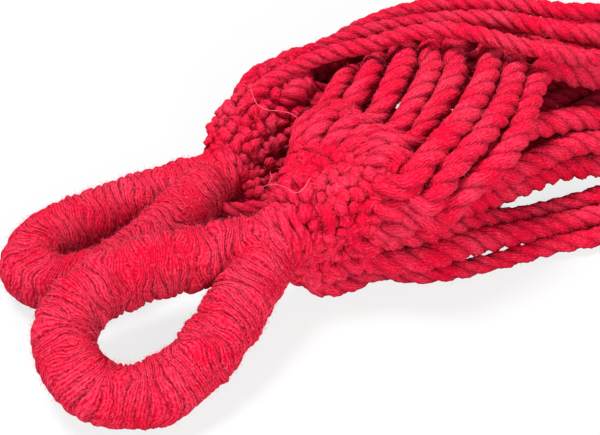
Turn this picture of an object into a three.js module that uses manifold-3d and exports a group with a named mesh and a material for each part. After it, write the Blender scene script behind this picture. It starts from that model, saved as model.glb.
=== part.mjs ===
// A red cotton hammock put away for storage: both hanging eyes side by side at the -X end, each with its
// woven clew and a fan of ropes, and the canvas bed folded into a packet at the +X end.
// Millimetres, +Z up. The origin is the centre of the folded bed's flat underside.
import * as THREE from 'three';
import { mergeVertices } from 'three/addons/utils/BufferGeometryUtils.js';
import Module from 'manifold-3d';

const wasm = await Module();
wasm.setup();

// Driving sizes
const clearance = 0.35; // between pieces that touch
const ropeDiameter = 6.8;
const ropeSides = 8;
const ropeStep = 15; // length of one facet along a rope
const ropeBury = 5; // how far a rope runs into its clew and its hem

const eyeDiameter = 18.4; // over the whipping
const eyeCoreDiameter = 11.6; // the bundle of ropes inside the whipping
const eyeTaper = 1.5; // how pointed a loop is at its neck
const eyeSides = 12;
const eyeSteps = 15; // facets along each arm of a loop
const bindingLength = 7;

const clewThickness = 8.4; // at the edge that the ropes leave
const clewNeckThickness = 8; // where it wraps round the neck
const clewNeckRadius = 5;
const clewGrid = [18, 10]; // facets across and along a clew

const hemX = -184; // the hems' rope side
const hemDepth = 20;
const hemThickness = 9.2;
const hemMargin = 6; // cloth beyond the first and the last rope

const bedLength = 230; // folded size
const bedWidth = 230;
const foldHeight = 6.5; // the cloth folded in four across its width
const foldsPerHalf = 4; // and then in four along its length
const bedEndThickness = 11; // the gathered end of each half, between its hem and the packet
const nearEndLine = [-92, 78]; // where the gathered ends meet the packet, from one side to the other
const farEndLine = [-88, 96];

// The two hanging eyes: neck is the centre of the loop's closed end, turn and dip give its direction
const nearEye = {
  neck: [-433.5, -48, 24], turn: 200.3, dip: 8.8, roll: -19.2, reach: 69.5, width: 37.5, split: 1.5,
};
const farEye = {
  neck: [-438.5, 4.5, 13.4], turn: 203, dip: 3.3, roll: 2.5, reach: 68.8, width: 31, split: 2.5,
};

// The ropes of the clew that lies in front, from the one lowest on the floor up over the hump
const nearRopes = [
  [[-417, -51.5, 6.5], [-408.5, -50.5, 4.5], [-395.5, -47.5, 4], [-385.5, -52, 3.6],
    [-374, -54, 3.6], [-354.5, -54, 3.6], [-338, -52.5, 3.6], [-323, -53, 3.6]],
  [[-404.5, -51, 14], [-396, -54.5, 14], [-384.5, -56.5, 13.5], [-372.5, -52.5, 11.5],
    [-359.5, -49, 9], [-345, -47.5, 7.2], [-328.5, -45.5, 5.5], [-317.5, -44.5, 4.5]],
  [[-403, -52.8, 22], [-393.5, -52, 21.5], [-385, -51.5, 20], [-376.5, -48.5, 16.5],
    [-361.5, -42, 12], [-345.5, -39, 6.5], [-328, -36.5, 4], [-311, -34.5, 3.8]],
  [[-392.5, -55.5, 28.5], [-383.5, -52, 27], [-372, -46.5, 23], [-358.5, -41, 20],
    [-340, -33.5, 16.5], [-324, -28, 15], [-311.5, -27.5, 13.5]],
  [[-389.5, -52.5, 35], [-380.5, -48.5, 33], [-364.5, -43, 28.5], [-349.5, -38.5, 25.5],
    [-334.5, -33, 24.8], [-320.5, -28.5, 24.6], [-312, -27.5, 23.3]],
  [[-382, -47.5, 41], [-371, -42.5, 40], [-359, -36.5, 38], [-343.5, -30.5, 36],
    [-328, -25, 32.5], [-316.5, -22.5, 30.5], [-309.5, -22, 29]],
  [[-382, -60, 32], [-378.5, -59, 34.5], [-373.5, -57.5, 37.5], [-365.5, -54, 40.5], [-357, -50, 43],
    [-347.5, -41, 45.5], [-338, -28, 46], [-327.5, -14, 45], [-319.5, -7, 42.5], [-310, -7, 38]],
  [[-386.5, -60, 38.5], [-382, -57.5, 41.5], [-376, -53.5, 45], [-368, -48.5, 47], [-358.5, -41, 48.5],
    [-347, -29, 49], [-337, -13, 48.5], [-328.5, 2, 47], [-319.5, 5, 43.5], [-309, 2.5, 40.5]],
  [[-392, -56, 43.5], [-386, -52, 46.5], [-377.5, -46.5, 49], [-367.5, -39, 50.5], [-355.5, -26, 51],
    [-344.5, -10, 50], [-336, 5.5, 48.5], [-324, 14, 47.5], [-309, 11.5, 44]],
  [[-383, -36.5, 43], [-374, -30, 46.5], [-364.5, -21, 49], [-355.5, -7.5, 48.5], [-352, 4, 47.5],
    [-342, 16, 46], [-327, 21, 44], [-312, 19, 41.5]],
  [[-386.5, -29.5, 43], [-379, -24, 46.5], [-371, -16, 49], [-362.5, -4, 48.5], [-359, 7, 47],
    [-351, 18, 43.5], [-336, 26.5, 41], [-315, 26, 39]],
  [[-389, -19, 42], [-382, -13.5, 46.5], [-374.5, -4.5, 48.5], [-367.5, 6, 47], [-366, 15, 43.5],
    [-356, 25.5, 39.5], [-340, 33, 37], [-317, 33, 35.5]],
  [[-392, -6, 40], [-386, -1, 43.5], [-379.5, 6.5, 43.5], [-376, 15.5, 40.5], [-370, 25, 36],
    [-359, 33.5, 32.5], [-342, 40, 31], [-318, 39.5, 30.5]],
  [[-399, -1.5, 37], [-392.5, 6, 39], [-386.5, 13.5, 38.5], [-382, 21.5, 34], [-374.5, 31, 28],
    [-360, 40, 24.5], [-340, 45.5, 24], [-318, 46, 24.5]],
];
// The ropes of the clew that lies behind: eight over the hump, from the long ones on top, and six that
// run along the floor under the hump
const farRopes = [
  [[-395, 25.5, 41], [-386, 21, 45.5], [-377.5, 14.5, 50], [-368.5, 10.5, 54], [-357, 4.5, 57.5],
    [-348, -2.5, 58.5], [-341.5, -9.5, 58.5], [-333, -15, 57], [-322.5, -17, 54], [-311, -16.5, 50],
    [-280, -15, 47.5]],
  [[-395.5, 36, 36.5], [-380, 33, 42.5], [-365.5, 26.5, 48.5], [-350, 19, 52.5], [-332.5, 8.5, 55.5],
    [-322.5, -1, 56], [-313, -8, 55.5], [-304, -10.5, 54.5], [-280, -9.5, 52.5]],
  [[-385, 41.5, 34.5], [-374, 43.5, 38.5], [-363, 43.5, 42], [-352, 41.5, 45], [-335, 32, 49.5],
    [-319, 18.5, 53], [-306, 5, 55.5], [-280, -1, 56]],
  [[-384, 46.9, 30.4], [-370, 48.8, 33.9], [-350, 46.9, 40], [-325, 40, 54.3], [-300, 28, 57],
    [-275, 16.5, 57.5]],
  [[-384, 52.3, 26.3], [-370, 54.1, 29.5], [-350, 52.3, 35], [-325, 48, 50.3], [-300, 36, 55],
    [-275, 24.3, 56]],
  [[-384, 57.7, 22.2], [-370, 59.4, 25.1], [-350, 57.7, 30], [-325, 55.5, 45.7], [-300, 43.5, 51.7],
    [-275, 31.7, 53]],
  [[-384, 63.1, 18.1], [-370, 64.7, 20.7], [-350, 63.1, 25], [-325, 62, 40.3], [-300, 50.5, 47.5],
    [-275, 38.8, 49.3]],
  [[-384, 68.5, 14], [-370, 70, 16.3], [-350, 68.5, 20], [-325, 67.5, 34.3], [-300, 56.5, 42.3],
    [-275, 45.2, 44.7]],
  [[-400, 12, 13], [-388, 12, 9], [-371, 8, 4.6], [-350, 3, 3.8], [-325, 0, 3.8], [-305, 0, 3.8],
    [-285, 6.5, 4.6], [-265, 18, 8.5], [-247, 31.5, 12.5], [-231, 44, 17.2], [-217, 47.7, 26.8],
    [-205, 43.6, 34.8]],
  [[-399, 18, 21], [-388, 20, 16], [-371, 19, 8], [-350, 14, 4], [-325, 11.5, 3.8], [-305, 11.5, 3.8],
    [-285, 18, 4.2], [-265, 29.5, 6.8], [-247, 42, 10], [-231, 52, 15.3], [-217, 53.9, 22.6],
    [-205, 49.8, 29.4]],
  [[-398, 24, 29], [-388, 30, 22], [-371, 32, 11], [-350, 26, 4.6], [-325, 23, 3.8], [-305, 23, 3.8],
    [-285, 29, 3.8], [-265, 40, 4.8], [-247, 52, 6.5], [-231, 59.4, 11.7], [-217, 59.4, 17.8],
    [-205, 55.4, 23.6]],
  [[-384, 73.9, 9.9], [-370, 71, 8.6], [-350, 56, 5], [-334, 40.5, 4], [-315, 34.5, 3.8],
    [-300, 35.5, 3.8], [-285, 40.5, 3.8], [-265, 51, 3.8], [-247, 61.5, 4.8], [-231, 66.5, 8.5],
    [-217, 65.2, 12.8], [-205, 61.3, 17]],
  [[-384, 79.3, 5.8], [-370, 80, 4.2], [-350, 68.5, 3.7], [-334, 52.5, 3.7], [-315, 45.5, 3.7],
    [-300, 46, 3.7], [-285, 51, 3.7], [-265, 61, 3.7], [-247, 70.5, 3.7], [-231, 75, 4.6],
    [-217, 72.5, 7.5], [-205, 67, 11]],
  [[-384, 87.2, 3.7], [-370, 88.5, 3.7], [-350, 80.5, 3.7], [-334, 64.5, 3.7], [-315, 56.5, 3.7],
    [-300, 57, 3.7], [-285, 61.5, 3.7], [-265, 71, 3.7], [-247, 79, 3.7], [-231, 83, 3.7],
    [-217, 80.5, 3.7], [-205, 73.5, 4.4]],
];
// Where each rope enters its hem, as [y, z] across the bundle
const nearHoles = [[-54, 5], [-45, 5], [-34.5, 5.2], [-27.5, 11], [-26, 19], [-23, 27], [-9, 34], [-1, 37.5],
  [6.5, 39.5], [14, 39.5], [21, 37.5], [28, 34.5], [34.5, 30.5], [40, 25]];
const farHoles = [[-14, 46], [-9, 51.5], [-2, 54.5], [6, 55], [13.5, 53], [21, 50], [28, 46.5], [35, 42.5],
  [41.5, 37.5], [47.5, 32], [53, 26], [58, 20.5], [62.5, 14.5], [66, 7.6]];
const bundleX = { near: -293, far: -195 }; // from here to the hems the ropes lie side by side
const runPoints = 4; // points of each rope on that stretch

// Each clew's strands start round its neck, between two angles up from the front, and run through its
// middle row to its edge, where the ropes leave it
const nearClew = {
  wrap: [-95, 150],
  middle: [[-425, -49, 9.5], [-420.5, -48.5, 17], [-412, -50.5, 24.5], [-407, -51.5, 32], [-407, -48, 38],
    [-408.5, -39, 41], [-413, -31, 41.5], [-418, -27.5, 39.5]],
  edge: [[-414, -51.5, 4.9], [-411.5, -52.5, 9.5], [-402, -53, 15], [-397, -54.5, 23],
    [-388, -57, 30], [-386, -57.5, 37.5], [-391, -50, 44], [-387, -34, 43.5], [-390, -20, 42],
    [-395, -8, 40], [-402, -3.5, 36.5]],
};
const farClew = {
  wrap: [-94, 210],
  middle: [[-423, -6, 7], [-420, 2, 12.5], [-418.5, 7, 22], [-421, 13, 27.5], [-426.5, 21, 26.5],
    [-415, 28, 27], [-406, 36, 22.5], [-405, 41, 17.5], [-406, 45.5, 12.5], [-407, 49.5, 8.5]],
  edge: [[-402, -9, 4.9], [-396, 8, 9], [-395, 14, 20], [-395, 20.5, 31.5], [-397, 28, 38.5],
    [-397, 37, 36], [-381, 42.5, 34.5], [-379, 54, 26], [-379, 65, 18], [-379, 76, 10.5],
    [-379, 87, 4.8]],
};

const red = 0xc8202f;
const cotton = new THREE.MeshStandardMaterial({ color: red, roughness: 0.95, metalness: 0 });
const canvas = new THREE.MeshStandardMaterial({ color: 0xb81c2a, roughness: 0.9, metalness: 0 });

const hammock = new THREE.Group();
const vector = (point) => new THREE.Vector3(...point);
const radians = THREE.MathUtils.degToRad;

function addPart(name, geometry, material) {
  const mesh = new THREE.Mesh(geometry, material.clone());
  mesh.name = name;
  hammock.add(mesh);
}

// A closed three.js geometry as a solid that can be joined and cut, and back
function solidOf(geometry) {
  const bare = geometry.clone();
  for (const name of Object.keys(bare.attributes)) if (name !== 'position') bare.deleteAttribute(name);
  const merged = mergeVertices(bare, 1e-4);
  return new wasm.Manifold(new wasm.Mesh({
    numProp: 3,
    vertProperties: new Float32Array(merged.attributes.position.array),
    triVerts: new Uint32Array(merged.index.array),
  }));
}

function geometryOf(solid) {
  const mesh = solid.getMesh();
  const geometry = new THREE.BufferGeometry();
  geometry.setAttribute('position', new THREE.BufferAttribute(new Float32Array(mesh.vertProperties), 3));
  geometry.setIndex(new THREE.BufferAttribute(new Uint32Array(mesh.triVerts), 1));
  geometry.computeVertexNormals();
  return geometry;
}

function circleShape(diameter, sides) {
  const corners = Array.from({ length: sides }, (_, i) => {
    const angle = (2 * Math.PI * (i + 0.5)) / sides;
    return new THREE.Vector2(Math.cos(angle), Math.sin(angle)).multiplyScalar(diameter / 2);
  });
  return new THREE.Shape(corners);
}

function tube(points, diameter, sides, steps) {
  const path = new THREE.CatmullRomCurve3(points);
  const settings = { steps, extrudePath: path, bevelEnabled: false };
  return new THREE.ExtrudeGeometry(circleShape(diameter, sides), settings);
}

// Directions of an eye: along it to the tip, level across it, and the loop's own width
function eyeAxes(eye) {
  const [turn, dip, roll] = [eye.turn, eye.dip, eye.roll].map(radians);
  const along = new THREE.Vector3(
    Math.cos(turn) * Math.cos(dip), Math.sin(turn) * Math.cos(dip), -Math.sin(dip));
  const level = new THREE.Vector3(-Math.sin(turn), Math.cos(turn), 0);
  const raised = new THREE.Vector3().crossVectors(along, level);
  const across = level.clone().multiplyScalar(Math.cos(roll)).addScaledVector(raised, Math.sin(roll));
  return { along, level, raised, across };
}

// A teardrop: angle runs from 0 at the neck, round the tip at PI, back to the neck at 2 PI
function eyePoint(eye, angle) {
  const widest = 2 * Math.atan(Math.sqrt(1 + eyeTaper));
  const swell = (a) => Math.sin(a) * Math.sin(a / 2) ** eyeTaper;
  const { along, across } = eyeAxes(eye);
  const side = (eye.width / 2) * (swell(angle) / swell(widest)) + eye.split * Math.cos(angle / 2);
  return vector(eye.neck)
    .addScaledVector(along, (eye.reach * (1 - Math.cos(angle))) / 2)
    .addScaledVector(across, side);
}

// The same points with both ends moved outwards
function lengthened(points, extra) {
  const longer = points.map((point) => point.clone());
  for (const [end, next] of [[longer[0], points[1]], [longer.at(-1), points.at(-2)]]) {
    end.addScaledVector(end.clone().sub(next).normalize(), extra);
  }
  return longer;
}

// The loop as two arms that join at the tip and are drawn out past the neck
function eyeLoop(eye, diameter) {
  const overlap = 0.04;
  const first = 0.2; // the angle at which an arm leaves the neck
  const { along } = eyeAxes(eye);
  const arm = (from, to) => {
    const points = Array.from({ length: eyeSteps + 1 }, (_, i) =>
      eyePoint(eye, from + ((to - from) * i) / eyeSteps));
    points.unshift(points[0].clone().addScaledVector(along, -eyeDiameter / 2));
    return solidOf(tube(points, diameter, eyeSides, eyeSteps + 2));
  };
  return arm(first, Math.PI + overlap).add(arm(2 * Math.PI - first, Math.PI - overlap));
}

// Everything round an eye's axis between two distances from its neck
function blockAlong(eye, from, to) {
  const width = 4 * eyeDiameter;
  const block = new THREE.BoxGeometry(to - from, width, width);
  const { along } = eyeAxes(eye);
  block.applyQuaternion(new THREE.Quaternion().setFromUnitVectors(new THREE.Vector3(1, 0, 0), along));
  const centre = vector(eye.neck).addScaledVector(along, (from + to) / 2);
  return solidOf(block.translate(centre.x, centre.y, centre.z));
}

// A slab of cloth or weave: place(u, v) gives its middle surface and thickness(v) its depth there
function slab(place, thickness, across, lengthwise) {
  const geometry = new THREE.BoxGeometry(1, 1, 1, across, lengthwise, 1);
  const spots = geometry.attributes.position;
  const small = 1e-3;
  for (let i = 0; i < spots.count; i++) {
    const u = spots.getX(i) + 0.5;
    const v = spots.getY(i) + 0.5;
    const alongU = place(u + small, v).sub(place(u - small, v));
    const alongV = place(u, v + small).sub(place(u, v - small));
    const normal = alongU.cross(alongV).normalize();
    const spot = place(u, v).addScaledVector(normal, spots.getZ(i) * thickness(v));
    spots.setXYZ(i, spot.x, spot.y, spot.z);
  }
  return geometry;
}

const smooth = (t) => t * t * (3 - 2 * t);
const blend = (a, b, t) => a + (b - a) * t;
const within = (t) => Math.min(1, Math.max(0, t));

// Ropes: each runs on from its last chosen point along the bundle and into its hole in the hem
function ropeRoute(points, hole, start) {
  const run = Array.from({ length: runPoints }, (_, i) =>
    new THREE.Vector3(blend(start, hemX + ropeBury, i / (runPoints - 1)), ...hole));
  return [...points.map(vector), ...run];
}

function ropeTube(route, diameter) {
  const length = new THREE.CatmullRomCurve3(route).getLength();
  return tube(route, diameter, ropeSides, Math.round(length / ropeStep));
}

const routes = {
  near: nearRopes.map((points, i) => ropeRoute(points, nearHoles[i], bundleX.near)),
  far: farRopes.map((points, i) => ropeRoute(points, farHoles[i], bundleX.far)),
};

// Cuts a socket for every rope that enters a piece
function withSockets(solid, side) {
  const socket = ropeDiameter + 2 * clearance;
  return routes[side].reduce((cut, route) =>
    cut.subtract(solidOf(ropeTube(lengthened(route, clearance), socket))), solid);
}

// Clew: a pad of strands that starts behind the neck's binding
function clewSolid(eye, { wrap, middle, edge }) {
  const { along, level, raised } = eyeAxes(eye);
  const edgeRow = new THREE.CatmullRomCurve3(edge.map(vector));
  const middleRow = new THREE.CatmullRomCurve3(middle.map(vector));
  const start = bindingLength + 2 * clearance;
  const root = vector(eye.neck).addScaledVector(along, -start);
  const place = (u, v) => {
    const angle = radians(blend(...wrap, u));
    const first = root.clone()
      .addScaledVector(level, clewNeckRadius * Math.cos(angle))
      .addScaledVector(raised, clewNeckRadius * Math.sin(angle));
    const last = edgeRow.getPoint(within(u));
    const bend = middleRow.getPoint(within(u)).multiplyScalar(2);
    bend.addScaledVector(first, -0.5).addScaledVector(last, -0.5);
    return new THREE.QuadraticBezierCurve3(first, bend, last).getPoint(v);
  };
  const thickness = (v) => blend(clewNeckThickness, clewThickness, smooth(v));
  return solidOf(slab(place, thickness, ...clewGrid)).subtract(blockAlong(eye, -start, eyeDiameter));
}

function bindingSolid(eye) {
  const { along } = eyeAxes(eye);
  const start = vector(eye.neck).addScaledVector(along, -clearance);
  const end = start.clone().addScaledVector(along, -bindingLength);
  return solidOf(tube([start, end], eyeDiameter, eyeSides, 1));
}

// Hem: a folded band that follows its row of ropes, which end inside it
function hemRow(holes) {
  const row = holes.map(([y, z]) => new THREE.Vector3(0, y, z));
  return new THREE.CatmullRomCurve3(lengthened(row, hemMargin));
}

function hemSolid(holes) {
  const row = hemRow(holes);
  const place = (u, v) => row.getPoint(within(u)).setX(hemX + hemDepth * v);
  return solidOf(slab(place, () => hemThickness, 3 * holes.length, 1));
}

// Gathered end of the bed: from the back of its hem it spreads to a level line at the packet
function bedEndSolid(holes, [left, right], height) {
  const row = hemRow(holes);
  const start = hemX + hemDepth + clearance;
  const end = -bedLength / 2 - clearance;
  const place = (u, v) => {
    const flat = new THREE.Vector3(0, blend(left, right, u), height);
    return row.getPoint(within(u)).lerp(flat, smooth(v)).setX(blend(start, end, v));
  };
  const thickness = (v) => blend(hemThickness, bedEndThickness, smooth(v));
  return solidOf(slab(place, thickness, 2 * holes.length, 4));
}

// One half of the bed as a stack of folds, each with round turns at both ends
function bedHalfGeometry(bottom) {
  const turn = foldHeight / 2;
  const reach = bedLength / 2 - turn;
  const top = bottom + foldsPerHalf * foldHeight;
  const outline = new THREE.Shape();
  outline.moveTo(-reach, bottom);
  for (let i = 0; i < foldsPerHalf; i += 1) {
    const middle = bottom + (i + 0.5) * foldHeight;
    outline.absarc(reach, middle, turn, -Math.PI / 2, Math.PI / 2, false);
  }
  for (let i = foldsPerHalf - 1; i >= 0; i -= 1) {
    const middle = bottom + (i + 0.5) * foldHeight;
    outline.absarc(-reach, middle, turn, Math.PI / 2, (3 * Math.PI) / 2, false);
  }
  const settings = { depth: bedWidth, bevelEnabled: false, curveSegments: 6 };
  const geometry = new THREE.ExtrudeGeometry(outline, settings);
  return geometry.rotateX(Math.PI / 2).translate(0, bedWidth / 2, 0);
}

for (const [side, eye, clew] of [['near', nearEye, nearClew], ['far', farEye, farClew]]) {
  const beyondNeck = blockAlong(eye, -2 * eyeDiameter, 0);
  const hollow = eyeLoop(eye, eyeCoreDiameter + 2 * clearance);
  const whipping = eyeLoop(eye, eyeDiameter).subtract(hollow).subtract(beyondNeck);
  addPart(`${side}_eye_core`, geometryOf(eyeLoop(eye, eyeCoreDiameter).subtract(beyondNeck)), cotton);
  addPart(`${side}_eye_whipping`, geometryOf(whipping), cotton);
  addPart(`${side}_neck_binding`, geometryOf(bindingSolid(eye)), cotton);
  addPart(`${side}_clew`, geometryOf(withSockets(clewSolid(eye, clew), side)), cotton);
  routes[side].forEach((route, i) => {
    addPart(`${side}_rope_${String(i + 1).padStart(2, '0')}`, ropeTube(route, ropeDiameter), cotton);
  });
}

const halfHeight = foldsPerHalf * foldHeight;
const farBottom = halfHeight + clearance;
const gatherHeight = bedEndThickness / 2 + clearance; // the gathered ends lie in the outermost folds
addPart('near_hem', geometryOf(withSockets(hemSolid(nearHoles), 'near')), canvas);
addPart('far_hem', geometryOf(withSockets(hemSolid(farHoles), 'far')), canvas);
const farGatherHeight = farBottom + halfHeight - gatherHeight;
addPart('near_bed_end', geometryOf(bedEndSolid(nearHoles, nearEndLine, gatherHeight)), canvas);
addPart('far_bed_end', geometryOf(bedEndSolid(farHoles, farEndLine, farGatherHeight)), canvas);
addPart('near_bed_half', bedHalfGeometry(0), canvas);
addPart('far_bed_half', bedHalfGeometry(farBottom), canvas);

export default hammock;
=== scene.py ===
# A red cotton hammock folded for storage: two whipped hanging eyes, two woven clews, twenty-eight twisted
# ropes and a canvas bed folded into a packet. Metres, +Z up, origin under the middle of the folded bed.
import math

import bmesh
import bpy
import numpy as np
from mathutils import Euler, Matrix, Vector


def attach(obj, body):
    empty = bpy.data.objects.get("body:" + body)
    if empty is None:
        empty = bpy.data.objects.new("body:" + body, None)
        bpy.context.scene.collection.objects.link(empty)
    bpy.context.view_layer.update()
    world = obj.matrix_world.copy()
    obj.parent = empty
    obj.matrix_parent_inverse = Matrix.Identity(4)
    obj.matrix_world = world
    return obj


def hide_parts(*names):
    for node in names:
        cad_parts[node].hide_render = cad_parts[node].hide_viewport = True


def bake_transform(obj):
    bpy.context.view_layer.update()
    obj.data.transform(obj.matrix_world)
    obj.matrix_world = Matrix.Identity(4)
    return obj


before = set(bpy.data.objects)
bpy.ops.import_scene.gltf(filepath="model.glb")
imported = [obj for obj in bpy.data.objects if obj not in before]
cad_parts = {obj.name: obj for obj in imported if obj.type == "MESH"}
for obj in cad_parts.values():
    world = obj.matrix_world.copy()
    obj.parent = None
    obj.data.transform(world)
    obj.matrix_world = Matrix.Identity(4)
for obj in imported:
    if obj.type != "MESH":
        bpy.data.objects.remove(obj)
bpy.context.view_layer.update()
scene = bpy.context.scene

# --- Camera -------------------------------------------------------------------------------------------
# A close view from the front left and above, over the hanging eyes and the clews. The ropes run off to the
# right, towards the bed.
CAMERA_TURN = math.radians(-18)
CAMERA_RISE = math.radians(38)
CAMERA_AIM = Vector((-0.410, -0.008, 0))
CAMERA_REACH = 0.430
away = Vector((
    math.sin(CAMERA_TURN) * math.cos(CAMERA_RISE),
    -math.cos(CAMERA_TURN) * math.cos(CAMERA_RISE),
    math.sin(CAMERA_RISE),
))
camera = bpy.data.objects.new("camera", bpy.data.cameras.new("camera"))
camera.data.sensor_width = 36
camera.data.lens = 74.8
camera.data.clip_start = 0.01
camera.location = CAMERA_AIM + away * CAMERA_REACH
camera.rotation_euler = (-away).to_track_quat("-Z", "Y").to_euler()
scene.collection.objects.link(camera)
scene.camera = camera

# --- Ropes --------------------------------------------------------------------------------------------
# Each rope is three strands of soft cotton yarn, laid up right-handed. It leaves its clew, bends over its
# neighbours and runs in a loose bundle to its hole in the hem.
ROPE_THICKNESS = 0.0068
ROPE_LAY = {"near": 0.0220, "far": 0.0165}  # one turn of a strand
ROPE_STRANDS = 3
STRAND_CENTRE = 0.17  # from the middle of the rope, as a share of its thickness
STRAND_RADIUS = 0.33
STRAND_LUMPS = 0.08  # how unevenly the strands are filled
ROPE_STEP = 0.0014
SPAN_STEPS = 12  # places on a curve between two of its given points, before it is spaced evenly
ROPE_SIDES = 36
HEM_FRONT = -0.184
HEM_DEPTH = 0.020
ROPE_BURY = 0.005  # length inside the hem
BUNDLE_START = {"near": -0.293, "far": -0.195}
NEAR_ROPES = [
    [(-0.417, -0.0515, 0.0065), (-0.4085, -0.0505, 0.0045), (-0.3955, -0.0475, 0.004),
     (-0.3855, -0.052, 0.0036), (-0.374, -0.054, 0.0036), (-0.3545, -0.054, 0.0036),
     (-0.338, -0.0525, 0.0036), (-0.323, -0.053, 0.0036)],
    [(-0.4045, -0.051, 0.014), (-0.396, -0.0545, 0.014), (-0.3845, -0.0565, 0.0135),
     (-0.3725, -0.0525, 0.0115), (-0.3595, -0.049, 0.009), (-0.345, -0.0475, 0.0072),
     (-0.3285, -0.0455, 0.0055), (-0.3175, -0.0445, 0.0045)],
    [(-0.403, -0.0528, 0.022), (-0.3935, -0.052, 0.0215), (-0.385, -0.0515, 0.02),
     (-0.3765, -0.0485, 0.0165), (-0.3615, -0.042, 0.012), (-0.3455, -0.039, 0.0065),
     (-0.328, -0.0365, 0.004), (-0.311, -0.0345, 0.0038)],
    [(-0.3925, -0.0555, 0.0285), (-0.3835, -0.052, 0.027), (-0.372, -0.0465, 0.023),
     (-0.3585, -0.041, 0.02), (-0.34, -0.0335, 0.0165), (-0.324, -0.028, 0.015),
     (-0.3115, -0.0275, 0.0135)],
    [(-0.3895, -0.0525, 0.035), (-0.3805, -0.0485, 0.033), (-0.3645, -0.043, 0.0285),
     (-0.3495, -0.0385, 0.0255), (-0.3345, -0.033, 0.0248), (-0.3205, -0.0285, 0.0246),
     (-0.312, -0.0275, 0.0233)],
    [(-0.382, -0.0475, 0.041), (-0.371, -0.0425, 0.04), (-0.359, -0.0365, 0.038),
     (-0.3435, -0.0305, 0.036), (-0.328, -0.025, 0.0325), (-0.3165, -0.0225, 0.0305),
     (-0.3095, -0.022, 0.029)],
    [(-0.382, -0.06, 0.032), (-0.3785, -0.059, 0.0345), (-0.3735, -0.0575, 0.0375),
     (-0.3655, -0.054, 0.0405), (-0.357, -0.05, 0.043), (-0.3475, -0.041, 0.0455), (-0.338, -0.028, 0.046),
     (-0.3275, -0.014, 0.045), (-0.3195, -0.007, 0.0425), (-0.31, -0.007, 0.038)],
    [(-0.3865, -0.06, 0.0385), (-0.382, -0.0575, 0.0415), (-0.376, -0.0535, 0.045),
     (-0.368, -0.0485, 0.047), (-0.3585, -0.041, 0.0485), (-0.347, -0.029, 0.049),
     (-0.337, -0.013, 0.0485), (-0.3285, 0.002, 0.047), (-0.3195, 0.005, 0.0435), (-0.309, 0.0025, 0.0405)],
    [(-0.392, -0.056, 0.0435), (-0.386, -0.052, 0.0465), (-0.3775, -0.0465, 0.049),
     (-0.3675, -0.039, 0.0505), (-0.3555, -0.026, 0.051), (-0.3445, -0.01, 0.05), (-0.336, 0.0055, 0.0485),
     (-0.324, 0.014, 0.0475), (-0.309, 0.0115, 0.044)],
    [(-0.383, -0.0365, 0.043), (-0.374, -0.03, 0.0465), (-0.3645, -0.021, 0.049),
     (-0.3555, -0.0075, 0.0485), (-0.352, 0.004, 0.0475), (-0.342, 0.016, 0.046), (-0.327, 0.021, 0.044),
     (-0.312, 0.019, 0.0415)],
    [(-0.3865, -0.0295, 0.043), (-0.379, -0.024, 0.0465), (-0.371, -0.016, 0.049),
     (-0.3625, -0.004, 0.0485), (-0.359, 0.007, 0.047), (-0.351, 0.018, 0.0435), (-0.336, 0.0265, 0.041),
     (-0.315, 0.026, 0.039)],
    [(-0.389, -0.019, 0.042), (-0.382, -0.0135, 0.0465), (-0.3745, -0.0045, 0.0485),
     (-0.3675, 0.006, 0.047), (-0.366, 0.015, 0.0435), (-0.356, 0.0255, 0.0395), (-0.34, 0.033, 0.037),
     (-0.317, 0.033, 0.0355)],
    [(-0.392, -0.006, 0.04), (-0.386, -0.001, 0.0435), (-0.3795, 0.0065, 0.0435), (-0.376, 0.0155, 0.0405),
     (-0.37, 0.025, 0.036), (-0.359, 0.0335, 0.0325), (-0.342, 0.04, 0.031), (-0.318, 0.0395, 0.0305)],
    [(-0.399, -0.0015, 0.037), (-0.3925, 0.006, 0.039), (-0.3865, 0.0135, 0.0385), (-0.382, 0.0215, 0.034),
     (-0.3745, 0.031, 0.028), (-0.36, 0.04, 0.0245), (-0.34, 0.0455, 0.024), (-0.318, 0.046, 0.0245)],
]
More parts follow.
